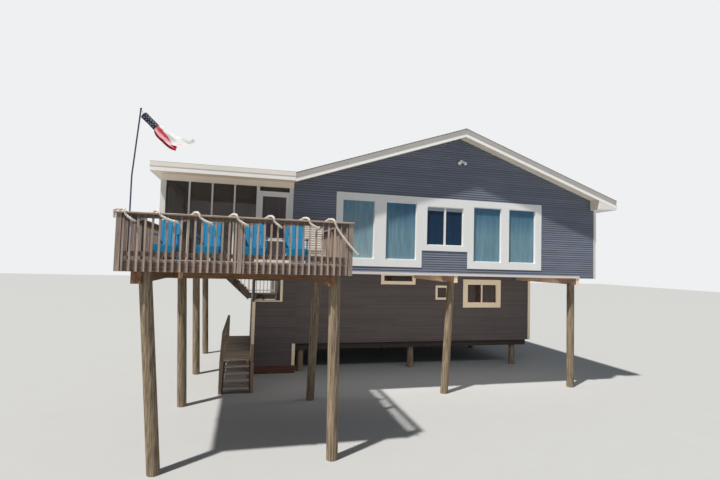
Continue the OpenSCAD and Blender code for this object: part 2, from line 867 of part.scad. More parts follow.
// A turn falls steeply from the cap, then flattens towards the gap
turn_bend = 0.45;
function turn_z(t) = fall_z - (fall_z - rope_low) * pow(t, turn_bend);
function rope_turn(x, d, next) = concat(over_cap(x), [
    for (t = [0.12, 0.3, 0.5, 0.7])
        [x + cross_front + (d - x - cross_front) * t, rope_front, turn_z(t)]
], [
    [d - rope_d * 0.7, rope_front + rope_r / 4, turn_z(0.86)],
    [d - rope_r / 2, deck_front - rope_r * 0.8, rope_low + rope_r / 4],
    [d, deck_front + baluster_w / 2, rope_low],
    [d + rope_r / 3, deck_front + 2 * board_t + rope_r * 1.3, rope_low],
    [d + rope_r, rope_back, rope_low + rope_r],
    [d + (next - cross_back - d) * 0.45, rope_back, (rope_top + 2 * rope_low) / 3],
    [d + (next - cross_back - d) * 0.8, rope_back, (3 * rope_top + rope_low) / 4],
    [next - cross_back, rope_back, fall_z],
    [next - cross_back / 2, cap_mid + rope_r * 1.5, rope_top + hump_h * 0.8]
]);
// The end falls past the right post, steep at first
fall_steps = 9;
fall_bend = 0.74;
fall_x = hump_x(rope_turns) + cross_front;
rope_path = concat(
    [
        [rope_side, deck_front + cap_w / 2, rope_low + rope_d],
        [rope_side, deck_front + cap_w * 0.44, (rope_top + rope_low) / 2 + rope_d],
        [rope_side, deck_front + cap_w * 0.36, fall_z],
        [rope_side + rope_d * 1.2, deck_front + cap_w * 0.27, rope_top + hump_h * 0.8],
        [rope_side + rope_d * 2.1, deck_front + cap_w * 0.22, rope_top + hump_h * 0.1]
    ],
    [for (k = [0:rope_turns - 1])
        each rope_turn(hump_x(k), slot_near(hump_x(k) + slot_runs[k]), hump_x(k + 1))],
    over_cap(hump_x(rope_turns)),
    [for (i = [1:fall_steps]) let (t = i / fall_steps) [
        fall_x + (deck_r + rope_out - fall_x) * t,
        rope_front + (deck_front - rope_r - rope_slack - rope_front) * t,
        fall_z - (fall_z - floor_z - rope_end_z) * pow(t, fall_bend)
    ]]
);

function unit(v) = v / norm(v);
function path_dir(p, i) = unit(p[min(i + 1, len(p) - 1)] - p[max(i - 1, 0)]);
function flatten_to(n, t) = unit(n - (n * t) * t);
rope_sides = 8;
// Tube swept along a path, its rings turned as little as they can be
module swept_tube(p, r, sides) {
    last = len(p) - 1;
    normals = [
        for (i = 0, n = flatten_to([1, 0.2, 0], path_dir(p, 0)); i <= last;
            i = i + 1, n = flatten_to(n, path_dir(p, min(i, last)))) n
    ];
    rings = [
        for (i = [0:last], k = [0:sides - 1])
            p[i] + r * (cos(360 * k / sides) * normals[i]
                + sin(360 * k / sides) * cross(path_dir(p, i), normals[i]))
    ];
    walls = [
        for (i = [0:last - 1], k = [0:sides - 1])
            let (a = i * sides, b = a + sides, m = (k + 1) % sides) [a + k, b + k, b + m, a + m]
    ];
    polyhedron(rings, concat([[for (k = [0:sides - 1]) k]], walls,
        [[for (k = [sides - 1:-1:0]) last * sides + k]]), convexity = 10);
}

module rail_rope() {
    color("#d8d2c4") place() swept_tube(rope_path, rope_r, rope_sides);
}

pole_r = pole_d / 2;
pole_y = deck_front - cap_in + cap_w + pole_r;
pole_left = deck_x + pole_x;
pole_bend = 0.55;
pole_shift = 100;
pole_top = [pole_left + pole_shift, pole_y, floor_z + pole_h];
module flagpole() {
    color("#5a6b80") place() {
        translate([pole_left, pole_y, floor_z]) cylinder(h = pole_h * pole_bend, r = pole_r);
        rod([pole_left, pole_y, floor_z + pole_h * pole_bend], pole_top, pole_r);
        translate([pole_left, pole_y, floor_z + pole_h * pole_bend]) sphere(r = pole_r);
        translate(pole_top) sphere(r = pole_r * 1.4);
    }
}

// Windsock: a tube on a bridle, and its tails
sock_tilt = 130;
sock_gap = 34;
sock_hang = 100;
line_r = 3;
sock_start = pole_top + [sock_gap, 0, -sock_hang];
sock_dir = [sin(sock_tilt), 0, cos(sock_tilt)];
sock_end = sock_start + sock_l * sock_dir;
tail_t = 5;
tail_w = 56;
tail_l = 640;
tail_less = 95;
tail_fall = 190;
tail_wave = 22;
tail_steps = 14;
function tail_x(t, length) = length * t;
function tail_z(t, drop, wave) = -drop * (1.6 * t - 0.6 * t * t) + wave * sin(430 * t);
module tail(length, drop, wave) {
    rotate([90, 0, 0]) linear_extrude(tail_t) polygon(concat(
        [for (i = [0:tail_steps]) let (t = i / tail_steps) [tail_x(t, length), tail_z(t, drop, wave)]],
        [for (i = [tail_steps:-1:0]) let (t = i / tail_steps)
            [tail_x(t, length) - tail_w * 0.25, tail_z(t, drop, wave) - tail_w]]));
}

module windsock() {
    color("#8c3a4c") place() {
        translate(sock_start) rotate([0, sock_tilt, 0]) difference() {
            cylinder(h = sock_l, r = sock_d / 2);
            translate([0, 0, -e]) cylinder(h = sock_l + 2 * e, r = sock_d / 2 - tail_t);
        }
        rod(sock_end - [0, sock_d / 2 - line_r, 0], sock_end + [0, sock_d / 2 - line_r, 0], line_r + 1);
        for (side = [-1, 1])
            rod(pole_top + [0, side * (line_r + 1), 0],
                sock_start + [line_r + 1, side * (sock_d / 2 - line_r), -line_r], line_r);
        for (i = [0:4]) let (side = i - 2)
            translate(sock_end
                + [-tail_wave - 8 * abs(side), side * (sock_d / 2 - 16) / 2 + tail_t / 2, tail_w * 0.46])
                tail(tail_l - tail_less * i, tail_fall * (1 + 0.15 * i), tail_wave * (1 - 0.18 * i));
    }
}

// Deck chair with its back to the wall, from the middle of its back's foot
seat_z = 330;
seat_drop = 70;
back_angle = 16;
leg_w = 70;
module chair_back(w, h, round_top) {
    rotate([-back_angle, 0, 0]) rotate([90, 0, 0]) linear_extrude(chair_t)
        intersection() {
            translate([-w / 2, 0]) square([w, h]);
            translate([0, h - round_top]) circle(r = round_top);
        }
}

module deck_chair() {
    arm_x = chair_w / 2;
    translate([0, 0, seat_z - seat_drop + chair_t + gap])
        chair_back(chair_back_w, chair_h - seat_z + seat_drop, chair_h - seat_z + seat_drop);
    pull_x(-chair_back_w / 2, chair_back_w / 2) polygon([
        [-chair_d, seat_z], [-chair_d, seat_z + chair_t],
        [0, seat_z - seat_drop + chair_t], [0, seat_z - seat_drop]
    ]);
    for (side = [-1, 1]) {
        x = side > 0 ? chair_back_w / 2 + gap : -chair_back_w / 2 - chair_t - gap;
        pull_x(x, x + chair_t) polygon([
            [-chair_d - chair_t, seat_z - leg_w], [-chair_d - chair_t, seat_z + chair_t],
            [0, seat_z - seat_drop + chair_t], [chair_d * 0.45, 0], [chair_d * 0.25, 0]
        ]);
        leg = side > 0 ? x + chair_t + gap : x - chair_t - gap;
        block([leg, -chair_d, 0], [leg + chair_t, -chair_d + leg_w, arm_z - gap]);
        block([side > 0 ? chair_back_w / 2 - 2 : -arm_x, -chair_d - 40, arm_z],
            [side > 0 ? arm_x : -chair_back_w / 2 + 2, chair_t + 60, arm_z + chair_t]);
    }
}

module slat_chair() {
    translate([0, 0, seat_z + chair_t + gap]) rotate([-back_angle, 0, 0])
        block([-slat_w / 2, -chair_t, 0], [slat_w / 2, 0, (slat_h - seat_z - chair_t) / cos(back_angle)]);
    block([-slat_w / 2, -chair_d, seat_z], [slat_w / 2, 0, seat_z + chair_t]);
    for (x = [-slat_w / 2, slat_w / 2 - chair_t], y = [-chair_d, -leg_w])
        block([x, y, 0], [x + chair_t, y + leg_w, seat_z - gap]);
}

// Middles of the chairs from the deck's left edge
chair_xs = [645, 1550, 2570, 3505];
module deck_chairs() {
    color("#2a86c8") place() {
        for (x = chair_xs) translate([deck_x + x, -chair_y, floor_z]) deck_chair();
        translate([deck_r - slat_in, -slat_y, floor_z]) slat_chair();
    }
}

// Twin floodlight on the gable
lamp_x = 105;
lamp_r = 62;
lamp_base_t = 40;
lamp_arm_x = 70;
lamp_arm_r = 12;
lamp_out = 75;
lamp_drop = 20;
module floodlight() {
    base = [lamp_x, 0, sill_z + lamp_z];
    color("#e8e6e0") place() {
        translate(base) rotate([90, 0, 0]) cylinder(h = lamp_base_t, r = lamp_r);
        for (side = [-1, 1]) {
            joint = base + [side * lamp_arm_x, -lamp_out, -lamp_drop];
            rod(base - [0, lamp_base_t * 0.875, 0], joint, lamp_arm_r);
            rod(joint + lamp_r * [-side * 0.35, 0.65, 0.65],
                joint + lamp_r * [side * 0.68, -0.97, -1.13], lamp_r * 0.85);
        }
    }
}

low_back = house_d;
// Windows of the lower front wall: left edge, width, foot and top, width of the boards
low_panes = [
    [low1_x, low1_w, low1_z, low1_top, low1_trim],
    [low2_x, low2_w, low2_z, low2_top, low2_trim],
    [low3_x, low3_w, low3_z, low3_top, low3_trim]
];

module low_pane(p, grow = 0) {
    translate([p[0] - grow, p[2] - grow]) square([p[1] + 2 * grow, p[3] - p[2] + 2 * grow]);
}

bay_hole = [bay_x + hole_x, hole_w, hole_z, hole_top];
module lower_front_wall() {
    color("#5d5c60") place()
    difference() {
        pull(low_y, low_y + wall_t) polygon([
            [bay_x, bay_z], [bay_r, bay_z], [bay_r, low_z], [house_r, low_z],
            [house_r, sill_z], [bay_x, sill_z]
        ]);
        for (p = low_panes) pull(low_y - e, low_y + wall_t + e) low_pane(p, sash_w);
        pull(low_y - e, low_y + wall_t + e) low_pane(bay_hole);
        girder_bars();
    }
}

low_back_centres = [for (i = [0:3]) house_l + house_w * (i + 0.5) / 4];
low_side_panes = [for (i = [0:2]) low_y + (low_back - low_y) * (i + 0.5) / 3];
low_side_z = 2300;
low_side_h = 1000;
module low_side_pane(c, grow = 0) {
    translate([c - side_pane_w / 2 - grow, low_side_z - grow])
        square([side_pane_w + 2 * grow, low_side_h + 2 * grow]);
}

landing_low = landing_z - landing_t;
bay_back = low_y + bay_d;
landing_y = bay_back - flight_w;
low_n = 9;
low_riser = (landing_z - walk_z) / low_n;
entry_y = landing_y - (low_n - 1) * tread_run;
pier = 100;
module lower_side_walls() {
    color("#5d5c60") place() {
        difference() {
            block([house_r - wall_t, low_y + wall_t, low_z], [house_r, low_back - wall_t, sill_z]);
            for (c = low_side_panes)
                pull_x(house_r - wall_t - e, house_r + e) low_side_pane(c, sash_w);
        }
        block([house_l, low_y + wall_t, low_z], [house_l + wall_t, low_back - wall_t, sill_z]);
        difference() {
            block([house_l, low_back - wall_t + gap, low_z], [house_r, low_back, sill_z]);
            for (c = low_back_centres)
                pull(low_back - wall_t - e, low_back + e) low_side_pane(c, sash_w);
            girder_bars();
        }
        block([bay_x, low_y + wall_t, bay_z], [bay_x + wall_t, low_y + wall_t + pier, hole_z]);
        block([bay_x, low_y + wall_t + pier + gap, bay_z], [bay_x + wall_t, entry_y - gap, walk_z]);
        block([bay_x, entry_y, bay_z], [bay_x + wall_t, bay_back, landing_low]);
        block([bay_x + wall_t + gap, bay_back - wall_t, bay_z], [house_l - gap, bay_back, landing_low]);
        block([house_l, bay_back - wall_t, bay_z], [bay_r - wall_t - gap, bay_back, low_z - gap]);
        block([bay_r - wall_t, low_y + wall_t, bay_z], [bay_r, bay_back, low_z - gap]);
    }
}

module bay_skirt() {
    color("#5c3a30") place() {
        block([bay_x, low_y, 0], [bay_r, low_y + skirt_t, bay_z]);
        block([bay_x, low_y + skirt_t + gap, 0], [bay_x + skirt_t, bay_back, bay_z]);
        block([bay_r - skirt_t, low_y + skirt_t + gap, 0], [bay_r, bay_back, bay_z]);
        block([bay_x + skirt_t + gap, bay_back - skirt_t, 0], [bay_r - skirt_t - gap, bay_back, bay_z]);
    }
}

module lower_floor() {
    color("#8a7f70") place()
    difference() {
        block([house_l + wall_t, low_y + wall_t, low_z],
            [house_r - wall_t, low_back - wall_t, low_z + low_floor_t]);
        for (i = [1:3], k = [-1:1])
            translate([pile_x(k), row_y(i), low_z - e])
                cylinder(h = low_floor_t + 2 * e, r = pile_r + gap);
    }
}

trim_end = 51;
sill_board = 40;
module lower_trim() {
    hole_r = bay_hole[0] + bay_hole[1];
    color("#e4dfcf") place() {
        block([bay_x, low_y - trim_t, bay_z], [bay_x + corner_w, low_y, hole_z - trim_end]);
        block([bay_r - corner_w, low_y - trim_t, bay_z], [bay_r, low_y, low_z]);
        block([house_r - corner_w, low_y - trim_t, low_z], [house_r, low_y, sill_z]);
        block([hole_r, low_y - trim_t, hole_z - sill_board], [hole_r + trim_w, low_y, hole_top + trim_w]);
        block([bay_hole[0], low_y - trim_t, hole_z - sill_board], [hole_r - gap, low_y, hole_z]);
    }
}

module lower_window_frames() {
    color("#e6cfa8") place() {
        for (p = low_panes) difference() {
            union() {
                pull(low_y, low_y + wall_t) low_pane(p, sash_w);
                pull(low_y - trim_t, low_y) low_pane(p, p[4]);
            }
            pull(low_y - trim_t - e, low_y + wall_t + e) low_pane(p);
            girder_bars();
        }
        block([low3_x + low3_w / 2 - bar_w / 2, low_y + bar_in, low3_z],
            [low3_x + low3_w / 2 + bar_w / 2, low_y + glass_in, low3_top]);
        for (c = low_side_panes) difference() {
            union() {
                pull_x(house_r - wall_t, house_r) low_side_pane(c, sash_w);
                pull_x(house_r, house_r + trim_t) low_side_pane(c, sash_w + trim_w);
            }
            pull_x(house_r - wall_t - e, house_r + trim_t + e) low_side_pane(c);
        }
        for (c = low_back_centres) difference() {
            union() {
                pull(low_back - wall_t, low_back) low_side_pane(c, sash_w);
                pull(low_back, low_back + trim_t) low_side_pane(c, sash_w + trim_w);
            }
            pull(low_back - wall_t - e, low_back + trim_t + e) low_side_pane(c);
        }
    }
}

module lower_glass() {
    color("#5f6f78") place() {
        for (p = low_panes) pull(low_y + glass_in, low_y + glass_in + glass_t) low_pane(p);
        for (c = low_side_panes)
            pull_x(house_r - glass_in - glass_t, house_r - glass_in) low_side_pane(c);
        for (c = low_back_centres)
            pull(low_back - glass_in - glass_t, low_back - glass_in) low_side_pane(c);
    }
}

// Steps from the beach up to the boardwalk
walk_r = bay_x;
walk_x = walk_r - walk_w;
steps = 5;
step_rise = walk_z / steps;
steps_y = walk_y - (steps - 1) * step_run;
walk_joist = 140;
module boardwalk() {
    color("#a89a8a") place() {
        block([walk_x, walk_y, walk_z - board_t], [walk_r, walk_end, walk_z]);
        for (x = [walk_x, walk_r - board_t])
            block([x, walk_y, walk_z - board_t - walk_joist],
                [x + board_t, walk_end, walk_z - board_t - gap]);
        for (y = [walk_y, (walk_y + walk_end - rail_post_w) / 2, walk_end - rail_post_w])
            block([walk_r - board_t - rail_post_w - gap, y, 0],
                [walk_r - board_t - gap, y + rail_post_w, walk_z - board_t - gap]);
    }
}

// Upper flight: goes down to the right, from the head landing to the middle landing
up_n = 7;
up_riser = (floor_z - landing_z) / up_n;
foot_out = 130;
foot_x = bay_x - foot_out;
head_x = foot_x - (up_n - 1) * up_run;
flight_y = landing_y;
function up_nose(x) = landing_z + up_riser + (foot_x - x) * up_riser / up_run;
function low_nose(y) = walk_z + low_riser + (y - entry_y) * low_riser / tread_run;
function step_nose(y) = step_rise + (y - steps_y) * step_rise / step_run;

module stair_landings() {
    color("#8f8072") place() {
        block([foot_x, landing_y, landing_low], [house_l, bay_back, landing_z]);
        block([porch_l, porch_d, sill_z], [head_x, bay_back, floor_z]);
        block([bay_x + wall_t, low_y + wall_t, walk_z - landing_t], [house_l, entry_y, walk_z]);
    }
}

// A stringer's edges lie this far under the line of the treads' noses
stringer_top = 60;
stringer_low = 460;
lower_low = 360;
step_low = 260;
module stair_stringers() {
    color("#6a5548") place() {
        for (y = [flight_y, flight_y + flight_w - stringer_t])
            pull(y, y + stringer_t) polygon([
                [foot_x, up_nose(foot_x) - stringer_low], [foot_x, up_nose(foot_x) - stringer_top],
                [head_x, up_nose(head_x) - stringer_top], [head_x, up_nose(head_x) - stringer_low]
            ]);
        for (x = [bay_x + wall_t, house_l - stringer_t])
            pull_x(x, x + stringer_t) polygon([
                [entry_y, low_nose(entry_y) - stringer_top],
                [landing_y, low_nose(landing_y) - stringer_top],
                [landing_y, low_nose(landing_y) - lower_low],
                [entry_y, low_nose(entry_y) - lower_low]
            ]);
        for (x = [walk_x, walk_r - stringer_t])
            pull_x(x, x + stringer_t) polygon([
                [steps_y, 0], [steps_y, step_nose(steps_y) - stringer_top],
                [walk_y, step_nose(walk_y) - stringer_top], [walk_y, step_nose(walk_y) - step_low],
                [steps_y + (step_low - step_rise) * step_run / step_rise, 0]
            ]);
    }
}

module stair_treads() {
    color("#9a8b7e") place() {
        for (i = [1:up_n - 1])
            block([foot_x - i * up_run + gap, flight_y + stringer_t, landing_z + i * up_riser - tread_t],
                [foot_x - (i - 1) * up_run, flight_y + flight_w - stringer_t, landing_z + i * up_riser]);
        for (i = [1:low_n - 1])
            block([bay_x + wall_t + stringer_t, entry_y + (i - 1) * tread_run,
                walk_z + i * low_riser - tread_t],
                [house_l - stringer_t, entry_y + i * tread_run - gap, walk_z + i * low_riser]);
        for (i = [1:steps - 1])
            block([walk_x + stringer_t, steps_y + (i - 1) * step_run, i * step_rise - tread_t],
                [walk_r - stringer_t, steps_y + i * step_run - gap, i * step_rise]);
    }
}

guard_rail_h = 50;
guard_foot_z = 80;
// Guard of bars along X from 0 to length, h high
module guard(length, h) {
    n = max(1, round(length / guard_p));
    for (z = [guard_foot_z, h - guard_rail_h])
        translate([0, 0, z]) cube([length, guard_t, guard_rail_h]);
    for (i = [0:n])
        translate([i * (length - guard_t) / n, 0, 0]) cube([guard_t, guard_t, h]);
}

module guard_x(x0, x1, y, z, h) {
    translate([x0, y, z]) guard(x1 - x0, h);
}

module guard_y(y0, y1, x, z, h) {
    translate([x + guard_t, y0, z]) rotate([0, 0, 90]) guard(y1 - y0, h);
}

// Sloping guard on a stringer of the upper flight
module flight_guard(y) {
    pull(y, y + guard_t) polygon([
        [foot_x, up_nose(foot_x) + guard_h - guard_rail_h], [foot_x, up_nose(foot_x) + guard_h],
        [head_x, up_nose(head_x) + guard_h], [head_x, up_nose(head_x) + guard_h - guard_rail_h]
    ]);
    n = round((foot_x - head_x) / guard_p);
    for (i = [0:n - 1]) let (x = foot_x - guard_t - i * (foot_x - head_x - guard_t) / n)
        pull(y, y + guard_t) polygon([
            [x, up_nose(x) - stringer_top], [x + guard_t, up_nose(x + guard_t) - stringer_top],
            [x + guard_t, up_nose(x + guard_t) + guard_h - guard_rail_h / 2],
            [x, up_nose(x) + guard_h - guard_rail_h / 2]
        ]);
}

// Posts and handrail of the boardwalk, on its left side, and two posts right of the steps
rail_ys = [
    steps_y, walk_y, (2 * walk_y + walk_end) / 3, (walk_y + 2 * walk_end) / 3, walk_end - rail_post_w
];
hand_low = 1000;
right_low = 900;
right_top = 1330;
module walk_rails() {
    hand_z = walk_z + guard_h;
    for (y = rail_ys)
        block([walk_x - rail_post_w, y, 0],
            [walk_x, y + rail_post_w, (y < walk_y ? hand_low : hand_z) - board_t]);
    pull_x(walk_x - rail_post_w, walk_x) polygon([
        [steps_y, hand_low - board_t], [steps_y, hand_low], [walk_y, hand_z], [walk_end, hand_z],
        [walk_end, hand_z - board_t], [walk_y, hand_z - board_t],
        [steps_y + rail_post_w, hand_low - board_t]
    ]);
    block([walk_x - board_t, walk_y + rail_post_w, walk_z + guard_h / 2],
        [walk_x, walk_end - rail_post_w, walk_z + guard_h / 2 + rail_post_w]);
    for (p = [[steps_y, right_low], [walk_y - rail_post_w, right_top]])
        block([walk_r, p[0], 0], [walk_r + rail_post_w, p[0] + rail_post_w, p[1]]);
}

module stair_guards() {
    color("#d8d2c8") place() {
        guard_x(foot_x, house_l, bay_back - guard_t, landing_z, guard_h);
        guard_y(entry_y, landing_y - gap, bay_x, landing_low, guard_h + landing_t);
        guard_x(porch_l, head_x, bay_back - guard_t, floor_z, guard_h);
        guard_y(porch_d + gap, bay_back - guard_t - gap, porch_l, floor_z, guard_h);
        guard_y(porch_d + gap, landing_y + guard_t, head_x - guard_t, floor_z, guard_h);
        flight_guard(flight_y);
        flight_guard(flight_y + flight_w - guard_t);
        walk_rails();
    }
}

house_piles();
deck_piles();
girders();
upper_floor();
front_wall();
right_wall();
left_wall();
back_wall();
main_roof();
porch_roof();
front_fascia();
rear_fascia();
soffits();
upper_trim();
front_window_frame();
side_window_frames();
upper_glass();
floodlight();
porch_floor();
porch_frame();
porch_screens();
screen_door();
deck_frame();
deck_boards();
deck_posts();
rail_caps();
front_rail();
left_rail();
right_rail();
rail_rope();
flagpole();
windsock();
deck_chairs();
lower_front_wall();
lower_side_walls();
bay_skirt();
lower_floor();
lower_trim();
lower_window_frames();
lower_glass();
boardwalk();
stair_landings();
stair_stringers();
stair_treads();
stair_guards();
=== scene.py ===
"""Looks of the beach house on piles: siding, roof, deck, railing, rope, stairs and windows."""

import logging
import math
import random
from dataclasses import dataclass, field
from enum import Enum
from functools import cache
from typing import Callable, Sequence

import bmesh
import bpy
from mathutils import Matrix, Vector


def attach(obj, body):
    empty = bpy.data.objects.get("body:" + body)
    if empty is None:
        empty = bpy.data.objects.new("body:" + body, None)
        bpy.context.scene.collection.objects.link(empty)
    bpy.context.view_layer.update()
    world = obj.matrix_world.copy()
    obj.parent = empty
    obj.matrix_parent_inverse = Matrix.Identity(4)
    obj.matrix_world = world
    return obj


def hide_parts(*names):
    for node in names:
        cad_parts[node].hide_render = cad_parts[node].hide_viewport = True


logging.basicConfig(level=logging.INFO, format="%(message)s")
LOG = logging.getLogger("beach_house")

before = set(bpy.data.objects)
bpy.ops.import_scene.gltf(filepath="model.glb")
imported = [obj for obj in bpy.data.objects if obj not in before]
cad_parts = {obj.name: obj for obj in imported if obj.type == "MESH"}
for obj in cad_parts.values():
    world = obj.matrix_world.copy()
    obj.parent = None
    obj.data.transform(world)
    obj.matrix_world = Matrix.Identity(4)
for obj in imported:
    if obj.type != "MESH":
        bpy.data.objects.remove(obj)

MM = 0.001
SHIFT = Vector((180.0, -360.0, 0.0))
X, Y, Z = Vector((1, 0, 0)), Vector((0, 1, 0)), Vector((0, 0, 1))
UNIT = (1.0, 1.0, 1.0)

Colour = tuple[float, float, float]
Span = tuple[float, float]
Point = tuple[float, float, float]
Box = tuple[float, float, float, float]
BMesh = bmesh.types.BMesh
Object = bpy.types.Object
Socket = bpy.types.NodeSocket


class Way(Enum):
    """The direction that a board's grain runs in."""

    X = 0
    Y = 1
    Z = 2


class Space(Enum):
    """What a pattern's coordinates follow."""

    OBJECT = "Object"
    GRAIN = "UV"


class Slot(Enum):
    """Material slots of the record."""

    SIDING = "siding"
    LOWER_SIDING = "lower_siding"
    SHINGLE = "shingle"
    WHITE_TRIM = "white_trim"
    WHITE_VINYL = "white_vinyl"
    GLASS = "glass"
    SCREEN = "screen"
    PILE_WOOD = "pile_wood"
    GIRDER_WOOD = "girder_wood"
    FLOOR_WOOD = "floor_wood"
    DECK_WOOD = "deck_wood"
    STAIR_WOOD = "stair_wood"
    ROPE = "rope"
    CHAIR_BLUE = "chair_blue"
    FLAG_CLOTH = "flag_cloth"
    LAMP = "lamp"


@dataclass(frozen=True)
class Plan:
    """Sizes of the house in millimetres, from the middle of the front wall's foot."""

    left: float = -5325.0
    right: float = 5325.0
    depth: float = 11520.0
    sill: float = 3840.0
    floor: float = 4128.0
    ridge: float = 60.0
    ridge_top: float = 8574.0
    pitch: float = 0.34
    roof: float = 200.0
    rake: float = 420.0
    eave: float = 545.0
    lap_clear: float = 16.0
    porch_left: float = -9005.0
    porch_depth: float = 4440.0
    porch_eave: float = 215.0
    ceiling: float = 6504.0
    porch_top: float = 6756.0
    deck_left: float = -9005.0
    deck_right: float = -4435.0
    deck_front: float = -4044.0
    joist_foot: float = 3906.0
    cap_foot: float = 5000.0
    cap: float = 140.0
    cap_over: float = 25.0
    board: float = 38.0
    post: float = 90.0
    baluster: float = 38.0
    baluster_end: float = 37.0
    baluster_pitch: float = 130.0
    middle_post: float = -6749.0
    bay_left: float = -6355.0
    bay_right: float = -4740.0
    bay_foot: float = 291.0
    bay_back: float = 7400.0
    landing: float = 2700.0
    low_front: float = 3600.0
    low_foot: float = 1090.0
    walk: float = 840.0
    girders: tuple[float, ...] = (-4500.0, 0.0, 4680.0)
    window_half: float = 450.0
    window_foot: float = 4928.0
    window_height: float = 1300.0

    def roof_top(self, x: float) -> float:
        """Height of the roof's upper face at x."""
        return self.ridge_top - self.pitch * abs(x - self.ridge)

    def siding_top(self, x: float) -> float:
        """Height at x where the siding ends under the roof."""
        return self.roof_top(x) - self.roof - self.lap_clear

    def bays(self, start: float, end: float, count: int) -> list[float]:
        """Middles of equal bays along a wall."""
        return [start + (i + 0.5) * (end - start) / count for i in range(count)]

    def front_panels(self) -> tuple[Span, Span]:
        """Finds the front railing's two panels.

        Returns:
            Left edge and length of each panel.
        """
        left, half = self.deck_left + self.post, self.post / 2
        return ((left, self.middle_post - half - left),
                (self.middle_post + half, self.deck_right - self.post - self.middle_post - half))

    def balusters(self, length: float) -> list[float]:
        """Spaces the balusters of a panel evenly.

        Args:
            length: Distance between the panel's posts.

        Returns:
            The balusters' middles, from the panel's start.
        """
        room = length - 2 * self.baluster_end
        count = math.floor(room / self.baluster_pitch + 0.5)
        return [self.baluster_end + i * room / count for i in range(count + 1)]


PLAN = Plan()


def srgb(red: int, green: int, blue: int) -> Colour:
    """Turns a colour as seen on screen into linear values.

    Args:
        red: Red, from 0 to 255.
        green: Green, from 0 to 255.
        blue: Blue, from 0 to 255.

    Returns:
        The linear colour.
    """
    shares = (value / 255 for value in (red, green, blue))
    return tuple(s / 12.92 if s <= 0.04045 else ((s + 0.055) / 1.055) ** 2.4 for s in shares)


def tint(colour: Colour, factor: float) -> Colour:
    """The colour, lighter or darker."""
    return tuple(min(1.0, c * factor) for c in colour)


def grey(value: float) -> Colour:
    """A neutral colour."""
    return (value,) * 3


